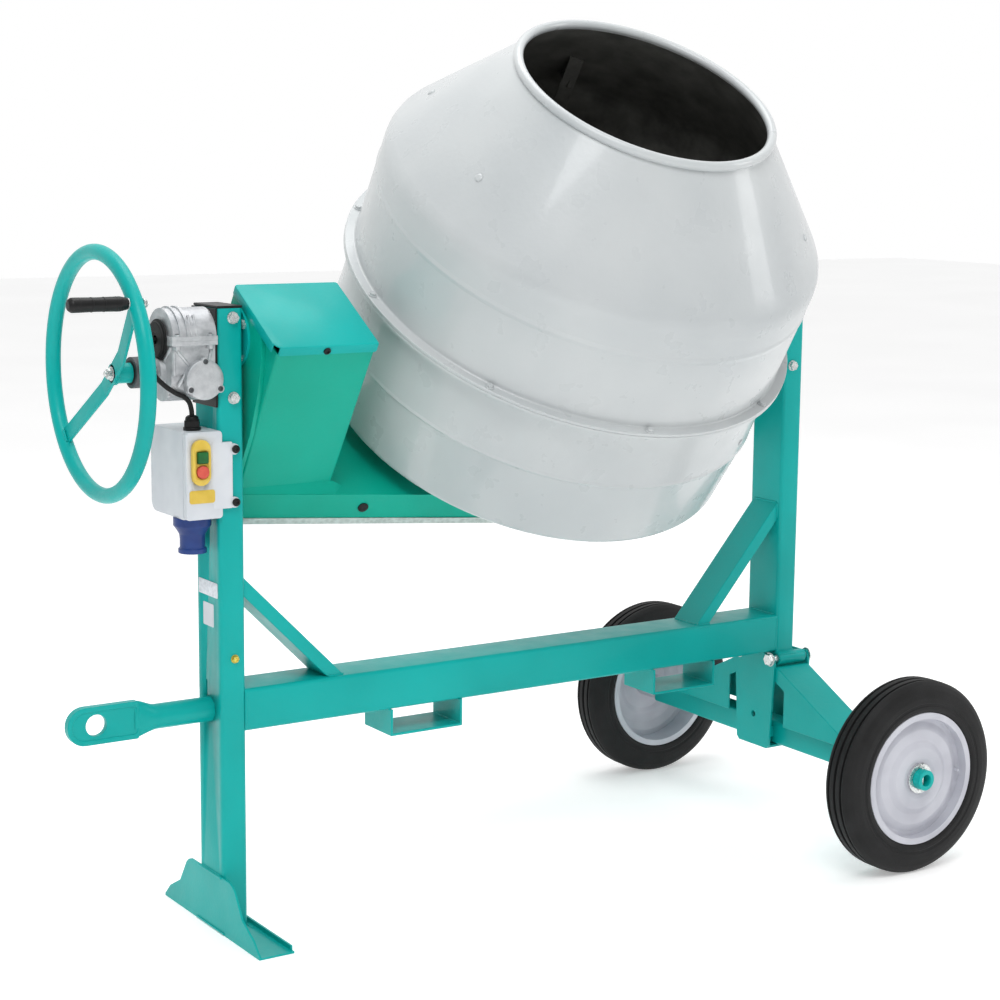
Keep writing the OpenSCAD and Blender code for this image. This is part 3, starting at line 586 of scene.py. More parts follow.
def drumShells(s):
    r, t, top = s["radius"], s["sheet"], s["mouthHeight"]
    upper = lathe([
        (r - t, 67.2), (s["flange"], 67.2, 1), (s["flange"], 73, 1.5), (r, 73, 4),
        (r, s["bead"] - 8, 6), (r + 1.9, s["bead"], 8), (r, s["bead"] + 8, 6), (r, s["shoulder"], 57),
        (s["mouth"] + 1.5, top - 6), (s["mouth"] - 2, top - 9), (r - t, s["shoulder"] - 2.4, 53),
    ], s["steps"], True, 40)

    def inward(centre, normal):
        return normal.x * centre.x + normal.y * centre.y < 0 and centre.xy.length < (s["flange"] - 6) * mm

    keep(upper, "drumUpperShell", "drum", "drum_enamel", "drum_upper")
    # the inward faces take the darker inside paint: painted shade inside the drum
    line(upper, shadedInsidePaint, inward)
    upper.data.transform(drumFrame)
    rolled = [(
        s["mouth"] + s["rolledRim"] * math.cos(math.radians(a)),
        top + s["rolledRim"] * math.sin(math.radians(a)),
    )
              for a in range(-110, 221, 11)]
    rim = lathe(rolled + [(s["mouth"] - 3.5, top - 1.5), (s["mouth"], top)], s["steps"], True, 50)
    keep(into(rim, drumFrame), "drumRolledRim", "drum", "drum_enamel", "drum_rim")
    low = s["bottom"]
    lower = lathe([
        (30, low), (r - 15.3, low, 18), (r - 2, -77, 2), (r + 1.5, -72, 3), (r, -66, 2), (r, 61, 3),
        (s["flange"], 61, 1.2), (s["flange"], 66.9, 1), (r - t, 66.9), (r - t, -70, 4), (r - 19, low + 4, 14),
        (30, low + 4),
    ], s["steps"], True, 40)
    keep(lower, "drumLowerShell", "drum", "drum_enamel", "drum_lower")
    # the inward faces and the floor of the drum take the darker inside paint: painted shade
    line(lower, shadedInsidePaint, lambda c, n: (inward(c, n) and c.z < 0.06) or (n.z > 0.5 and c.z < -0.2))
    lower.data.transform(drumFrame)
    heads, nuts = [], []
    for k in range(s["bolts"]):
        spot = Matrix.Rotation(math.tau * (k + 0.5) / s["bolts"], 4, "Z") @ Matrix.Translation(
            point(s["flange"] - 11, 0, 0)
        )
        heads.append(into(hexHead(11, 4, 8.5), spot @ Matrix.Translation(point(0, 0, 73))))
        nuts.append(
            into(
                hexHead(11, 4.5, 8.5, 2),
                spot @ Matrix.Translation(point(0, 0, 61)) @ Matrix.Rotation(math.pi, 4, "X"),
            )
        )
    keep(into(join(heads + nuts), drumFrame), "drumFlangeBolts", "drum", "drum_enamel")


drumShells(drumSet)
print("drum made")


def blades():
    # mixing blades: folded bars bolted to the drum wall, in the darker inside paint that is painted shade
    for node in ("blade_a", "blade_b"):
        keep(
            roundedCopy(node, 1.0), node.replace("_a", "Near").replace("_b", "Far"), "drum", "drum_enamel",
            node, paint=shadedInsidePaint,
        )


blades()
print("blades made")


# uprights, beam and braces of rolled box section
frameSet = {
    "corner": 7, "postDepth": 50, "leftPost": (-614, -564), "rightPost": (708, 758), "top": 1165,
    "beamLow": 383, "beamTop": 463, "weld": 2.6,
}


def uprights(s):
    d = s["postDepth"]
    left = roundBox((s["leftPost"][0], -d, 4), (s["leftPost"][1], d, s["top"]), s["corner"], 5, "z")
    drill(left, 23.6, (-630, 0, 422), (-550, 0, 422), 64)
    cut(left, roundBox((-616, 8.5, 440), (-606, 15.5, 476), 3, 3))
    beads = [weldBead((-614.6, -d + 8, 110), (-614.6, d - 8, 110))]
    for y in (-d + 1.5, d - 1.5):
        beads.append(
            weldBead(
                (s["leftPost"][1] + 0.5, y, s["beamLow"] + 6), (s["leftPost"][1] + 0.5, y, s["beamTop"] - 6),
                s["weld"],
            )
        )
        beads.append(
            weldBead(
                (s["rightPost"][0] - 0.5, y, s["beamLow"] + 6),
                (s["rightPost"][0] - 0.5, y, s["beamTop"] - 6), s["weld"],
            )
        )
    for x in (s["leftPost"][1] + 0.8, s["rightPost"][0] - 0.8):
        beads.append(weldBead((x, -d + 8, s["beamTop"] + 0.5), (x, d - 8, s["beamTop"] + 0.5), s["weld"]))
    keep(join([left] + beads), "uprightLeft", "frame", "frame_paint", "post_left")
    right = roundBox(
        (s["rightPost"][0], -d, s["beamLow"]), (s["rightPost"][1], d, s["top"]), s["corner"], 5, "z",
    )
    keep(right, "uprightRight", "frame", "frame_paint", "post_right")


def beam(s):
    d = s["postDepth"]
    tube = roundBox(
        (s["leftPost"][1] - 2, -d, s["beamLow"]), (s["rightPost"][0] + 2, d, s["beamTop"]), s["corner"], 5,
        "x",
    )
    parts = [tube]
    for y in (-52, 52):
        sleeve = lathe([(8.3, 0, 0.8), (14, 0, 1.2), (14, 72, 1.2), (8.3, 72, 0.8)], 48, True)
        parts.append(into(sleeve, aim((708, y, 368), (1, 0, 0))))
        wall = 1 if y > 0 else -1
        parts.append(roundBox((708, wall * 46 - 6, 366), (758, wall * 46 + 4, s["beamLow"] + 1), 1.2, 2))
        parts.append(weldBead((710, y + wall * 9, 378), (757, y + wall * 9, 378), 2.4))
    keep(join(parts), "mainBeam", "frame", "frame_paint", "main_beam")


uprights(frameSet)
beam(frameSet)


def braces():
    # box struts mitred on to the post and the beam, with a fillet weld round each foot
    for node, name in (("brace_left", "braceLeft"), ("brace_right", "braceRight")):
        keep(roundedCopy(node, 2.5, 3), name, "frame", "frame_paint", node)
    beads = []
    for node, wall in (("brace_left", -564), ("brace_right", 708)):
        low, high = (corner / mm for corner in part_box(node))
        foot = high.x if wall < 0 else low.x
        inner = -1 if wall < 0 else 1
        beads.append(weldBead((foot, low.y + 3, 463), (foot, high.y - 3, 463)))
        beads.append(weldBead((foot + inner * 34, low.y, 463.3), (foot, low.y, 463.3)))
        beads.append(weldBead((wall, low.y + 3, high.z), (wall, high.y - 3, high.z)))
        beads.append(weldBead((wall, low.y, high.z - 34), (wall, low.y, high.z)))
    keep(join(beads), "braceWelds", "frame", "frame_paint")


braces()


def plateWork():
    # folded plate parts keep their CAD outline, with bent edges rounded
    for node, name, width in (
        ("foot", "footChannel", 1.2), ("pocket_left", "forkPocketLeft", 1.4),
        ("pocket_right", "forkPocketRight", 1.4),
        ("axle_column", "axleCarrier", 1.2), ("strut_near", "strutNear", 1.8), ("strut_far", "strutFar", 1.8),
    ):
        keep(roundedCopy(node, width, 3), name, "frame", "frame_paint", node)
    beads = []
    for node in ("pocket_left", "pocket_right"):
        low, high = (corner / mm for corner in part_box(node))
        for x in (low.x, high.x):
            beads.append(weldBead((x, -48, 382.6), (x, 48, 382.6)))
    for x in (-619, -559):
        beads.append(weldBead((x, -60, 3.8), (x, 60, 3.8), 2))
    beads.append(weldBead((-618.6, -50, 109), (-618.6, 50, 109), 2.4))
    keep(join(beads), "plateWelds", "frame", "frame_paint")


plateWork()
print("frame made")

# endOn stands a plate along X, drawn in Y and Z; faceOn stands it towards -Y, drawn in X and Z
endOn = Matrix(((0, 0, 1, 0), (1, 0, 0, 0), (0, 1, 0, 0), (0, 0, 0, 1)))
faceOn = Matrix.Rotation(math.radians(90), 4, "X")

# the hand wheel: a bent tube, two cranked flat spokes welded across it and a bored boss
wheelSet = {"centre": (-820, 0, 1053), "turn": -39, "reach": 214, "tube": 14, "bar": 30, "boss": 18}


def handWheel(s):
    place = Matrix.Translation(point(*s["centre"])) @ Matrix.Rotation(math.radians(s["turn"]), 4, "X")
    reach, half = s["reach"], s["bar"] / 2
    bpy.ops.mesh.primitive_torus_add(
        major_radius=reach * mm, minor_radius=s["tube"] * mm, major_segments=144, minor_segments=28)
    rim = smooth(into(bpy.context.object, aim((0, 0, 0), (1, 0, 0))), 80)
    spoke = plate([
        (-3, reach - 8), (24, 49, 14), (24, -49, 14), (-3, 8 - reach),
        (3, 8 - reach), (30, -49, 20), (30, 49, 20), (3, reach - 8),
    ], s["bar"], 1.3)
    boss = lathe([(10.1, 0), (s["boss"], 0, 1.5), (s["boss"], 36, 1.8), (10.1, 36, 0.8)], 56, True)
    parts = [rim, shift(spoke, 0, 0, -half), into(boss, aim((24, 0, 0), (1, 0, 0)))]
    for side in (-1, 1):
        y = side * (reach - 15)
        parts.append(weldBead((-3.6, y, 2 - half), (-3.6, y, half - 2), 2.6))
        parts.append(weldBead((4.6, y, 2 - half), (4.6, y, half - 2), 2.6))
    parts.append(weldRing((30.5, 0, 0), (1, 0, 0), s["boss"] + 0.5, 2.2))
    keep(into(join(parts), place), "handWheel", "hand_wheel", "frame_paint", "handwheel")
    washer = lathe([(0, 0), (10, 0, 0.5), (10, 1.8, 0.5), (0, 1.8)], 32)
    nuts = [
        into(hexHead(17, 8, 13, 4), aim((24, 0, 0), (-1, 0, 0))),
        into(hexHead(13, 6.5, 9), aim((12.6, -reach, 0), (1, 0, 0))),
        into(washer, aim((-15.2, -reach, 0), (1, 0, 0))),
    ]
    keep(into(join(nuts), place), "handWheelNuts", "hand_wheel", "zinc_steel")
    grip = lathe([
        (0, 0), (9, 0, 4), (13, 6, 6), (12.2, 50, 80), (12.8, 92, 12), (10.2, 104.6, 1.5), (5.1, 104.6),
        (5.1, 8.5), (0, 8.5),
    ], 56)
    parts = [grip]
    for k in range(4):
        collar = lathe([(11, 0), (12.9, 0, 0.8), (12.9, 2.4, 0.8), (11, 2.4)], 56, True)
        parts.append(into(collar, Matrix.Translation(point(0, 0, 18 + 22 * k))))
    into(join(parts), aim((-121, -reach, 0), (1, 0, 0)))
    keep(into(grip, place), "wheelGrip", "grip", "black_plastic", "wheel_grip")
    shaft = keep(roundedCopy("wheel_shaft", 0.8), "wheelShaft", "hand_wheel", "bright_steel", "wheel_shaft")
    line(shaft, castIron, lambda c, n: c.x < -0.7395)
    seal = lathe([(10.2, 0), (22, 0, 0.8), (22, 1.6, 0.8), (10.2, 1.6)], 48, True)
    keep(into(seal, aim((-760, 0, 1053), (-1, 0, 0))), "shaftSeal", "hand_wheel", "black_rubber")


handWheel(wheelSet)
print("hand wheel made")

# the gearbox: two aluminium castings, ribbed, with a round cover held by three screws, on a black plate whose
# black is partly painted shade in the gap at the post
gearSet = {
    "back": -702, "front": -618, "pivot": 1110, "cap": (-644, 1040), "capReach": 36, "lugs": (90, 210, 330),
}


def castRib(start, end, radius):
    # a cast rib: a half-sunk bar with rounded ends
    run = Vector(end) - Vector(start)
    outline = [(0, -radius), (radius * 0.7, -radius * 0.7), (radius, 0), (radius, run.length),
               (radius * 0.7, run.length + radius * 0.7), (0, run.length + radius)]
    return into(lathe(outline, 16, sharp=60), aim(start, run))


def gearbox(s):
    back, front, z = s["back"], s["front"], s["pivot"]
    upper = [roundedCopy("gearbox_upper", 1.6)]
    for side in (-1, 1):
        for x in (back + 34, back + 44):
            rib = plate([(side * 34, 43), (side * 52, 8), (side * 58, 8), (side * 40, 46)], 4, 0.8)
            upper.append(into(rib, Matrix.Translation(point(x, 0, z)) @ endOn))
    keep(join(upper), "gearboxUpper", "frame", "cast_aluminium", "gearbox_upper")
    lower = [roundedCopy("gearbox_lower", 1.6)]
    for a, b in (
        ((-698, 1100), (-668, 1064)), ((-624, 1100), (-632, 1070)), ((-698, 1100), (-698, 1050)),
        ((-668, 1064), (-690, 1030)),
    ):
        lower.append(castRib((a[0], -49, a[1]), (b[0], -49, b[1]), 3))
    for side in (-1, 1):
        lower.append(castRib((back, side * 44, z - 12), (back, side * 16, 1070), 3))
        lower.append(castRib((back, side * 34, 1012), (back, side * 15, 1038), 3))
    keep(join(lower), "gearboxLower", "frame", "cast_aluminium", "gearbox_lower")
    x, height = s["cap"]
    reach = s["capReach"]
    cover = [
        into(
            lathe([(0, 0), (reach, 0), (reach, 6, 2.2), (reach - 5, 7.2, 1.5), (0, 7.6)], 72),
            aim((x, -56, height), (0, -1, 0)),
        )
    ]
    screws = []
    for a in s["lugs"]:
        lx, lz = x + (reach - 3) * math.cos(math.radians(a)), height + (reach - 3) * math.sin(math.radians(a))
        lug = lathe([(0, 0), (7.5, 0), (7.5, 8.6, 1.4), (5, 9, 0.5), (5, 7.4), (0, 7.4)], 32)
        cover.append(into(lug, aim((lx, -56, lz), (0, -1, 0))))
        screw = lathe([(0, 0), (4.6, 0), (4.6, 2.6, 0.6), (2.4, 2.8), (2.4, 1), (0, 1)], 24)
        screws.append(into(screw, aim((lx, -63, lz), (0, -1, 0))))
    keep(join(cover), "gearboxCap", "frame", "cast_aluminium", "gearbox_cap")
    for px in (back + 8, front - 12):
        for y in (-53, 53):
            screws.append(into(hexHead(8, 3.4, 5.6), Matrix.Translation(point(px, y, z + 8))))
    keep(join(screws), "gearboxScrews", "frame", "cast_iron")
    lip = lathe(
        [(8.2, 0), (37, 0), (37, 3, 1), (33, 4, 1), (32, 7.8, 1.5), (14, 7.8, 1.5), (12, 6), (8.2, 6)], 72,
        True,
    )
    keep(into(lip, aim((-706, 0, z), (-1, 0, 0))), "cableSeal", "frame", "black_rubber", "cable_grommet")
    # black plate between gearbox and post; its black is partly painted shade for the shaded gap there
    keep(roundedCopy("gearbox_plate", 1.0), "gearboxPlate", "frame", "black_plastic", "gearbox_plate")


gearbox(gearSet)
print("gearbox made")

# the switch box: a deep moulded body, a front with two ears, a raised yellow plate with its two buttons
# and a blank label
switchSet = {
    "left": -682, "right": -614, "low": 788, "high": 947, "depth": 95, "seam": -44.3, "face": -58,
    "middle": -654, "stems": (876, 902),
}


def switchBox(s):
    left, right, low, high = s["left"], s["right"], s["low"], s["high"]
    near, far = s["seam"] + 0.6, s["depth"]
    body = plate([(near, high, 1), (near, low, 1), (far, low, 20), (far, high, 10)], 68, 4)
    into(body, Matrix.Translation(point(left, 0, 0)) @ endOn)
    for z in s["stems"]:
        drill(body, 7, (s["middle"], -60, z), (s["middle"], -34, z))
    keep(body, "switchBody", "frame", "white_plastic", "switch_body")
    front = plate([(left, low, 7), (right + 4, low, 7), (right + 4, high, 7), (left, high, 7)], 13.6, 2)
    ears = plate([(-630, 805), (-590, 805, 3), (-590, 926, 3), (-630, 926)], 7.6, 1.4)
    shift(into(front, faceOn), 0, s["seam"], 0)
    # wells that the two buttons sink into
    cut(front, roundBox((-665.2, -62, 890.8), (-642.8, -50, 913.2), 1.6))
    drill(front, 12.6, (s["middle"], -62, 876), (s["middle"], -50, 876))
    for z in s["stems"]:
        drill(front, 7, (s["middle"], -54, z), (s["middle"], -40, z))
    parts = [front, shift(into(ears, faceOn), 0, -50.4, 0)]
    screws = []
    for z in (815, 912):
        lug = lathe([(0, 0), (10, 0, 0.6), (10, 7.6, 1.4), (0, 7.6)], 40)
        parts.append(into(lug, aim((-586, -50.4, z), (0, -1, 0))))
        screw = lathe([(0, 0), (7.5, 0), (7.5, 3.4, 1.6), (3, 4.9, 0.6), (3, 2.6), (0, 2.6)], 32)
        screws.append(into(screw, aim((-584, -58, z), (0, -1, 0))))
    keep(join(parts), "switchFront", "frame", "white_plastic", "switch_front")
    keep(join(screws), "switchScrews", "frame", "black_plastic")
    bezel = plate([(-673, 851, 17.9), (-637, 851, 17.9), (-637, 934, 17.9), (-673, 934, 17.9)], 10, 1.8)
    shift(into(bezel, faceOn), 0, s["face"], 0)
    cut(bezel, roundBox((-665.2, -72, 890.8), (-642.8, -60, 913.2), 1.6))
    drill(bezel, 12.6, (s["middle"], -72, 876), (s["middle"], -60, 876))
    label = plate([(-676, 818, 5), (-626, 818, 5), (-626, 842, 5), (-676, 842, 5)], 0.8, 0.25)
    shift(into(label, faceOn), 0, s["face"], 0)
    keep(join([bezel, label]), "switchPlate", "frame", "yellow_plastic", "switch_bezel")
    cap = roundBox((-664, -73, 892), (-644, -57, 912), 1.8, 4)
    start = join([cap, rod(6, (-654, -58, 902), (-654, -46, 902), 24)])
    keep(start, "startButton", "start", "green_plastic", "start_button")
    stop = lathe([(0, 0), (6, 0), (6, 11), (11.5, 11), (11.5, 27, 3), (7, 28, 3), (0, 27.2)], 48)
    keep(into(stop, aim((-654, -46, 876), (0, -1, 0))), "stopButton", "stop", "red_plastic", "stop_button")


def inletAndGland():
    body = lathe([
        (0, 0), (34.5, 0, 1.2), (34.5, 15, 2), (30, 21, 6), (24, 31, 6), (23, 40), (23, 56, 1), (26, 58, 1.2),
        (26, 66, 1.6),
        (19, 66, 0.8), (19, 18), (0, 18),
    ], 72)
    into(body, aim((-651, -14, 788), (0, 0, -1)))
    lug = roundBox((-660, 8, 726), (-642, 22, 748), 3)
    ribs = [lug, body]
    for k in range(10):
        rib = roundBox((-1.2, -34.4, -14), (1.2, -33, -2), 0.5, 1)
        ribs.append(
            into(
                rib,
                Matrix.Translation(point(-651, -14, 788)) @ Matrix.Rotation(math.radians(36 * k), 4, "Z"),
            )
        )
    keep(join(ribs), "powerInlet", "frame", "blue_plastic", "power_inlet")
    pins = []
    for a in (0, 120, 240):
        x, y = -651 + 9 * math.cos(math.radians(a)), -14 + 9 * math.sin(math.radians(a))
        pins.append(
            into(
                lathe([(0, 0), (3, 0), (3, 37, 0.8), (1.6, 39, 0.6), (0, 39)], 20),
                aim((x, y, 771), (0, 0, -1)),
            )
        )
    keep(join(pins), "inletPins", "frame", "bright_steel")
    ring = lathe([(4.8, 0), (16, 0, 0.8), (16, 6, 1.4), (4.8, 6)], 48, True)
    nut = lathe([(4.8, 6), (15.4, 6, 0.6), (15.4, 19, 2.4), (4.8, 19)], 6, True)
    dome = lathe([(4.8, 18), (12.6, 18), (11.6, 24, 4), (7.4, 27, 1.4), (4.8, 27)], 48, True)
    keep(
        shift(join([ring, nut, dome]), -654, -25, 947), "cableGland", "frame", "black_plastic", "cable_gland",
    )


switchBox(switchSet)
inletAndGland()
print("switch box made")

# the motor cable: from the hollow trunnion, out through the gearbox seal, round the lower casting and
# down into the gland
cableSet = {
    "diameter": 9,
    "route": [
        (-620, 0, 1110), (-660, 0, 1110), (-700, 0, 1110), (-719, -2.5, 1108.5), (-735, -10, 1100.5),
        (-740, -25, 1082),
        (-739, -37, 1064), (-730, -46, 1046), (-714, -50, 1030), (-695, -48, 1018), (-677, -41, 1010),
        (-663, -33, 999),
        (-656, -27, 985), (-654, -25, 974), (-654, -25, 960),
    ],
    "exit": (-654, -25, 974),
}


def motorCable(s):
    curve = bpy.data.curves.new("motorCable", "CURVE")
    curve.dimensions = "3D"
    curve.bevel_depth = s["diameter"] / 2 * mm
    curve.bevel_resolution = 6
    curve.resolution_u = 8
    curve.use_fill_caps = True
    spline = curve.splines.new("BEZIER")
    spline.bezier_points.add(len(s["route"]) - 1)
    route = [point(*p) for p in s["route"]]
    for i, knot in enumerate(spline.bezier_points):
        before, after = route[max(i - 1, 0)], route[min(i + 1, len(route) - 1)]
        knot.co = route[i]
        knot.handle_left_type = knot.handle_right_type = "FREE"
        knot.handle_left = route[i] - (after - before) / 6
        knot.handle_right = route[i] + (after - before) / 6
    cable = bpy.data.objects.new("motorCable", curve)
    bpy.context.scene.collection.objects.link(cable)
    cable.data.materials.append(blackRubber)
    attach(cable, "frame")
    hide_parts("motor_cable")


motorCable(cableSet)
print("cable made")

# road wheels: moulded tyre with three grooves and a stepped side wall on a pressed steel rim
roadSet = {"axle": (741, 200), "track": 434, "tyre": 200, "halfWidth": 42, "rim": 124, "steps": 160}


def roadWheel(s, side, name):
    x, z = s["axle"]
    place = Matrix.Translation(point(x, side * s["track"], z)) @ Matrix.Rotation(math.radians(-90), 4, "X")
    if side < 0:
        place = place @ Matrix.Rotation(math.pi, 4, "X")
    r, w = s["tyre"], s["halfWidth"]
    half = [
        (128.2, 34.6, 0.8), (137.4, 34.6, 1), (138.6, w - 2.5, 2), (144, w, 2), (150, w, 1),
        (151.4, w - 1.4, 0.6),
        (156, w - 1.4, 0.6), (157.4, w - 0.2, 1), (168, w - 0.6, 8), (183, w - 4, 10), (192, w - 9, 7),
        (196.8, w - 15, 4),
        (r - 0.6, 23, 2), (r - 0.5, 19.4, 0.8), (195, 18.8, 0.8), (195, 15.2, 0.8), (r, 14.6, 0.8),
        (r, 3.4, 0.8), (195, 2.8, 0.8),
    ]
    outline = half + [(p[0], -p[1]) + tuple(p[2:]) for p in reversed(half)]
    tyre = into(lathe(outline, s["steps"], True, 34), place)
    keep(tyre, "tyre" + name, "wheel_" + name.lower(), "tyre", "tyre_" + name.lower())
    barrel = lathe([
        (s["rim"], -39), (137, -39, 1), (137, -35, 1), (128, -35, 2), (128, 35, 2), (137, 35, 1),
        (137, 39, 1), (s["rim"], 39),
    ], s["steps"], True)
    disc = lathe([
        (27, 26), (44, 30, 6), (62, 30, 8), (74, 22, 8), (96, 22, 8), (112, 14, 6), (125, 14), (125, 18),
        (114, 18, 6), (98, 26, 8), (76, 26, 8), (64, 34, 8), (42, 34, 6), (27, 30),
    ], 120, True)
    hub = lathe([(21.1, -38, 1), (27.5, -38, 1.2), (27.5, 32, 2), (21.1, 32, 1)], 72, True)
    valve = lathe([(0, 0), (3.4, 0), (3.4, 6), (2.6, 7), (2.6, 17, 0.8), (0, 17)], 20)
    into(valve, Matrix.Translation(point(110, 0, 16)))
    parts = [barrel, disc, hub, weldRing((0, 0, 30.4), (0, 0, 1), 28.4, 2.2), valve]
    keep(into(join(parts), place), "rim" + name, "wheel_" + name.lower(), "rim_paint", "rim_" + name.lower())
    washer = lathe([(21.3, 33, 0.5), (31, 33, 0.6), (31, 36.4, 0.8), (21.3, 36.4, 0.6)], 64, True)
    pin = lathe([(0, -27), (1.4, -26), (2.4, -23), (2.4, 25), (0, 26)], 20)
    bpy.ops.mesh.primitive_torus_add(
        major_radius=3.6 * mm, minor_radius=1.3 * mm, major_segments=28, minor_segments=12,
    )
    eye = smooth(into(bpy.context.object, aim((0, 0, 28.4), (1, 0, 0))), 80)
    lean = Matrix.Translation(point(0, 0, 42)) @ Matrix.Rotation(math.radians(-90), 4, "X")
    clip = into(join([pin, eye]), lean)
    keep(
        into(join([washer, clip]), place), "retainer" + name, "frame", "zinc_steel",
        "retainer_" + name.lower(),
    )


roadWheel(roadSet, -1, "Near")
roadWheel(roadSet, 1, "Far")
print("road wheels made")

# running gear: the square axle tube with bored stub ends, and the two long pins that carry it
axleSet = {
    "x": 741, "z": 200, "half": 25, "reach": 388, "stub": 21, "end": 488, "pins": (-52, 52), "pinZ": 368,
}


def runningGear(s):
    x, z, h = s["x"], s["z"], s["half"]
    parts = [roundBox((x - h, -s["reach"], z - h), (x + h, s["reach"], z + h), 6, 4, "y")]
    for side in (-1, 1):
        stub = lathe([(12, 0), (s["stub"], 0), (s["stub"], 102, 1.6), (12, 102, 1)], 64, True)
        parts.append(into(stub, aim((x, side * (s["end"] - 102), z), (0, side, 0))))
        parts.append(weldRing((x, side * (s["reach"] + 0.5), z), (0, 1, 0), s["stub"] + 0.8, 2.4))
    keep(join(parts), "axleTube", "frame", "frame_paint", "axle_beam")
    pins = []
    for y in s["pins"]:
        pins.append(rod(8, (689, y, s["pinZ"]), (793, y, s["pinZ"]), 40))
        pins.append(into(hexHead(24, 7.5, 15), aim((690.8, y, s["pinZ"]), (-1, 0, 0))))
        pins.append(into(hexHead(24, 7, 15, 1.6), aim((791.2, y, s["pinZ"]), (1, 0, 0))))
    keep(join(pins), "axlePins", "frame", "zinc_steel", "axle_pins")


runningGear(axleSet)

# the tow tube, pressed flat into an eye at its free end
towSet = {
    "z": 422, "tube": 23, "flat": 8, "height": 35, "neck": -722, "press": 44, "inner": -270, "tip": -895,
    "eye": (-840, 20),
}


def towBar(s):
    r, z = s["tube"], s["z"]
    start = s["neck"] - s["press"]
    reach = s["inner"] - start
    wall = [(r, 0)] + [(r, 4.0 * k) for k in range(1, 16)]
    tube = lathe(wall + [(r, reach, 1), (r - 4, reach), (r - 4, 60)], 64)
    for vertex in tube.data.vertices:
        pressed = min(1, max(0, 1 - vertex.co.z / (s["press"] * mm)))
        pressed = pressed * pressed * (3 - 2 * pressed)
        vertex.co.y *= 1 + pressed * (s["flat"] / r - 1)
        vertex.co.x *= 1 + pressed * (s["height"] / r - 1)
    into(
        tube,
        Matrix.Translation(point(start, 0, z)) @ Matrix(
            ((0, 0, 1, 0), (0, 1, 0, 0), (-1, 0, 0, 0), (0, 0, 0, 1))
        ),
    )
    low, high = z - s["height"], z + s["height"]
    flat = s["flat"]
    eye = plate(
        [(s["tip"], low, 34), (start + 8, low, 5), (start + 8, high, 5), (s["tip"], high, 34)], 2 * flat, 0,
    )
    for level in (-4, 2 * flat - 1.6):
        # a shallow panel pressed into each side leaves a raised edge all round
        cut(eye, shift(plate([
            (s["tip"] + 9, low + 9, 25), (start + 4, low + 9, 5), (start + 4, high - 9, 5),
            (s["tip"] + 9, high - 9, 25),
        ], 5.6, 0), 0, 0, level))
    x, hole = s["eye"]
    drill(eye, hole, (x, z, -20), (x, z, 40), 72)
    soften(eye, 3, 3, 40)
    into(eye, faceOn)
    shift(eye, 0, flat, 0)
    keep(join([smooth(tube, 50), smooth(eye, 40)]), "towBar", "tow_bar", "frame_paint", "tow_bar")


towBar(towSet)
print("running gear made")

# the cradle is drawn level, then leaned by the tilt of the drum
cradleSet = {
    "left": -544, "right": -346, "near": -137, "far": 50, "base": -263, "top": 60, "lid": 78,
    "sheet": 3,
    "slope": 0.1207,
}


def coverBox(s):
    left, right, near, far = s["left"], s["right"], s["near"], s["far"]
    box = roundBox((left, near, s["base"]), (right, far, s["top"]), 7, 4, "z")
    t = s["sheet"]
    cut(box, roundBox((left + t, near + t, s["base"] - 5), (right - t, far - t, s["top"] + 5), 5, 3, "z"))
    # the step on to the wider casing is dressed with a sloping strip
    ledge = near - (right - left) * s["slope"]
    strip = plate([
        (left + 2, near + 0.4), (right + 26, near + 0.4), (right + 26, ledge - 2.4), (right, ledge + 0.6),
        (left + 2, near - 0.6),
    ], 16, 0)
    for vertex in strip.data.vertices:
        if vertex.co.z > 8 * mm and vertex.co.y < (near - 0.2) * mm:
            vertex.co.y = near * mm
        if vertex.co.z > 8 * mm and vertex.co.x > (right + 8) * mm:
            vertex.co.z = 1 * mm
    shift(strip, 0, 0, s["base"] - 1)
    bead = weldBead((right + 1, near + 4, s["base"] + 1), (right + 1, far - 4, s["base"] + 1), 2.6)
    keep(into(join([box, strip, bead]), tiltFrame), "coverBox", "cradle", "cradle_paint", "cover_box")
    lid = plate([
        (left - 10, near - 3.4, 20), (right + 3.4, near - 3.4, 6), (right + 3.4, far + 3.4, 6),
        (left - 10, far + 3.4, 6),
    ], s["lid"] - 58, 3.2)
    shift(lid, 0, 0, 58)
    cut(lid, roundBox((left - 8.2, near - 0.4, 50), (right + 0.4, far + 0.4, 75.6), 6, 3, "z"))
    keep(into(lid, tiltFrame), "coverLid", "cradle", "frame_paint", "cover_lid")
    screw = lathe([(0, 0), (7, 0), (7, 2.8, 1.4), (2.8, 4.4, 0.6), (2.8, 2), (0, 2)], 32)
    plug = lathe([(0, 0), (10.5, 0), (10.5, 2.4, 1), (5, 4.2, 1), (0, 4.2)], 36)
    spots = [into(screw, aim((-449, near - 3.4, 67), (0, -1, 0)))]
    spots.append(into(plug, aim((-281, near - 263 * s["slope"] - 0.4, -294), (-s["slope"], -1, 0))))
    keep(into(join(spots), tiltFrame), "cradlePlugs", "cradle", "black_plastic")


coverBox(cradleSet)


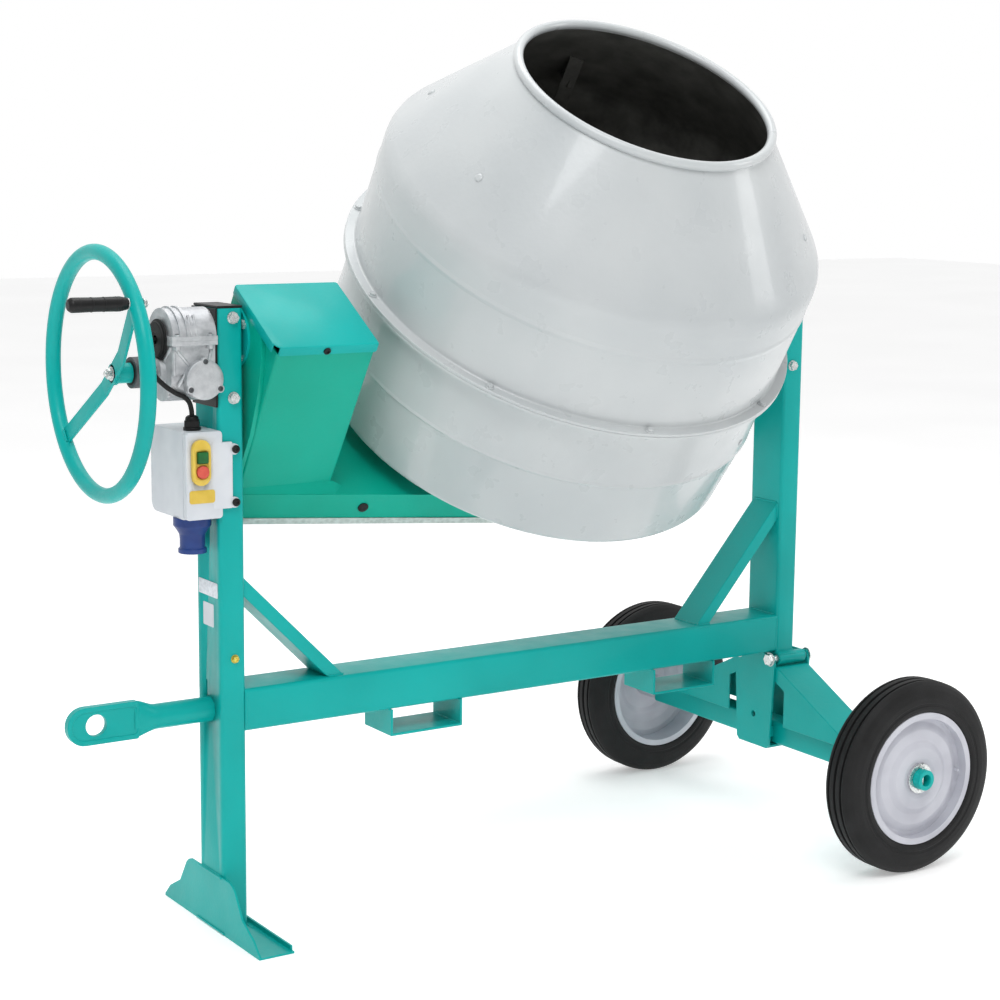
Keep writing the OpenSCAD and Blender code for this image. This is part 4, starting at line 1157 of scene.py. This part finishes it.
def cradleWork():
    for node, name, width in (
        ("cradle_plate", "cradlePlate", 1.6), ("belt_casing", "beltCasing", 2.2),
        ("cradle_arm", "cradleArm", 3.0),
    ):
        keep(roundedCopy(node, width, 3), name, "cradle", "cradle_paint", node)
    cover = keep(roundedCopy("bottom_cover", 0.9), "bottomCover", "cradle", "sheet_zinc", "bottom_cover")
    line(cover, zincSteel, lambda c, n: (tiltFrame.inverted() @ c).z < -334.05 * mm)
    stub = keep(roundedCopy("trunnion_left", 0.8), "trunnionLeft", "cradle", "bright_steel", "trunnion_left")
    line(stub, framePaint, lambda c, n: -0.5572 < c.x < -0.5515)
    line(stub, zincSteel, lambda c, n: -0.5625 < c.x < -0.5572)
    keep(roundedCopy("trunnion_right", 0.8), "trunnionRight", "cradle", "bright_steel", "trunnion_right")
    beads = []
    for x in (-543, -347):
        beads.append(weldBead((x, -130, -262.5), (x, 44, -262.5), 2.2))
    beads.append(weldBead((640, -38, -262), (640, 38, -262), 2.6))
    keep(into(join(beads), tiltFrame), "cradleWelds", "cradle", "cradle_paint")


cradleWork()
print("cradle made")

# small fittings on the uprights: end caps, cross bolts, one yellow bolt, a blank plate and a blank sticker
fittingSet = {"plate": (-40, 40, 636, 664), "sticker": (-22, 22, 579, 622), "yellowBolt": (-586, 523)}


def fittings(s):
    for node, name in (("cap_left", "postCapLeft"), ("cap_right", "postCapRight")):
        keep(roundedCopy(node, 1.6, 3), name, "frame", "black_plastic", node)
    for node, name in (("block_left", "bearingBlockLeft"), ("block_right", "bearingBlockRight")):
        block = keep(roundedCopy(node, 0.5), name, "frame", "cast_iron", node)
        line(block, zincSteel, lambda c, n: abs(c.y) > 0.0501)
    y0, y1, z0, z1 = s["plate"]
    data = plate([(y0, z0, 3), (y1, z0, 3), (y1, z1, 3), (y0, z1, 3)], 0.8, 0.2)
    into(data, Matrix.Translation(point(-614.9, 0, 0)) @ endOn)
    parts = [data]
    for y in (y0 + 4, y1 - 4):
        for z in (z0 + 4, z1 - 4):
            rivet = lathe([(0, 0), (2, 0), (1.6, 0.9, 0.6), (0, 1.2)], 20)
            parts.append(into(rivet, aim((-614.9, y, z), (-1, 0, 0))))
    keep(join(parts), "blankPlate", "frame", "sheet_zinc", paint=plateFoil)
    y0, y1, z0, z1 = s["sticker"]
    paper = plate([(y0, z0, 3), (y1, z0, 3), (y1, z1, 3), (y0, z1, 3)], 0.3, 0)
    keep(
        into(paper, Matrix.Translation(point(-614.3, 0, 0)) @ endOn), "blankSticker", "frame",
        "white_plastic",
    )
    x, z = s["yellowBolt"]
    keep(
        into(hexHead(12, 5, 8), aim((x, -49.9, z), (0, -1, 0))), "yellowBolt", "frame", "zinc_steel",
        paint=yellowZinc,
    )


fittings(fittingSet)


def bladeBolts():
    # the round heads of the blade bolts, seen on the outside of the drum
    heads = []
    for radius, angle, height, lean in (
        (367, -168.5, 379.3, 40.7), (382, -40.8, 361.6, 40.7), (367, 11.5, 379.3, 40.7),
        (382, 139.2, 361.6, 40.7), (440, -58.2, -35.7, 0), (440, 121.8, -35.7, 0),
    ):
        head = lathe([(0, 0), (8, 0), (7.6, 2.2, 1.2), (5, 3.6, 1.4), (0, 4.2)], 32)
        about = Matrix.Rotation(math.radians(angle), 4, "Z")
        spot = about @ Matrix.Translation(point(radius - 0.8, 0, height))
        heads.append(into(head, spot @ Matrix.Rotation(math.radians(90 - lean), 4, "Y")))
    keep(into(join(heads), drumFrame), "bladeBolts", "drum", "drum_enamel")


bladeBolts()
print("fittings made")


# every CAD node that is still shown gets its finish
for part in frame["record"]["subparts"]:
    repaint(part["node"], finishes[part["material_slot"]])
print("CAD nodes painted")


# floor, sky and lamps
stageSet = {
    "floorSize": 40, "floor": "#FCFCFC", "floorDark": "#F8F8F8", "driftMm": 900, "backdrop": "#FFFFFF",
    "room": "#B4B4B4", "facing": (0.45, 0.89, 0.0),
}


def floorAndSky(s):
    bpy.ops.mesh.primitive_plane_add(size=s["floorSize"], location=(0, 0, 0))
    floor = bpy.context.object
    floor.name = "studioFloor"
    material, tree, shader, place = newMaterial("paintedStudioFloor", {
        "Roughness": 0.9, "Specular IOR Level": 0.2, "Emission Color": colour("#FFFFFF"),
        "Emission Strength": 0.32,
    })
    worn = addNode(
        tree, "ShaderNodeTexNoise", {"Scale": scaleFor(s["driftMm"]), "Detail": 2.0}, {"Vector": place},
    )
    ramp = addNode(tree, "ShaderNodeValToRGB", {}, {"Fac": worn.outputs["Fac"]})
    for element, position, shade in zip(ramp.color_ramp.elements, (0.35, 0.65), (s["floorDark"], s["floor"])):
        element.position = position
        element.color = colour(shade)
    tree.links.new(ramp.outputs["Color"], shader.inputs["Base Color"])
    floor.data.materials.append(material)
    world = bpy.data.worlds.new("studioSky")
    bpy.context.scene.world = world
    world.use_nodes = True
    tree = world.node_tree
    tree.nodes.clear()
    # white backdrop behind the machine, fading to a greyer room on the other side
    view = addNode(tree, "ShaderNodeTexCoord").outputs["Generated"]
    facing = addNode(tree, "ShaderNodeVectorMath", {"operation": "DOT_PRODUCT"})
    tree.links.new(view, facing.inputs[0])
    facing.inputs[1].default_value = s["facing"]
    ramp = addNode(tree, "ShaderNodeValToRGB", {}, {"Fac": facing.outputs["Value"]})
    ramp.color_ramp.elements[0].position = 0.0
    ramp.color_ramp.elements[1].position = 0.6
    ramp.color_ramp.elements[0].color = colour(s["room"])
    ramp.color_ramp.elements[1].color = colour(s["backdrop"])
    sky = addNode(tree, "ShaderNodeBackground", {"Strength": 1.0}, {"Color": ramp.outputs["Color"]})
    addNode(tree, "ShaderNodeOutputWorld", {}, {"Surface": sky.outputs["Background"]})


def softBox(name, place, target, size, power):
    bpy.ops.object.light_add(type="AREA", location=place)
    lamp = bpy.context.object
    lamp.name = name
    lamp.data.shape = "RECTANGLE"
    lamp.data.size, lamp.data.size_y = size
    lamp.data.energy = power
    lamp.rotation_euler = (Vector(target) - Vector(place)).to_track_quat("-Z", "Y").to_euler()


floorAndSky(stageSet)
softBox("keySoftBox", (-1.8, -2.8, 4.6), (0, 0, 0.9), (2.6, 2.2), 115)
softBox("sideSoftBox", (4.2, -2.4, 2.6), (0.2, 0, 0.9), (1.2, 2.4), 34)
softBox("topSoftBox", (0.2, 0.6, 4.6), (0, 0, 0.9), (2.6, 2.6), 66)
bpy.context.scene.view_settings.view_transform = "Standard"
print("stage set")
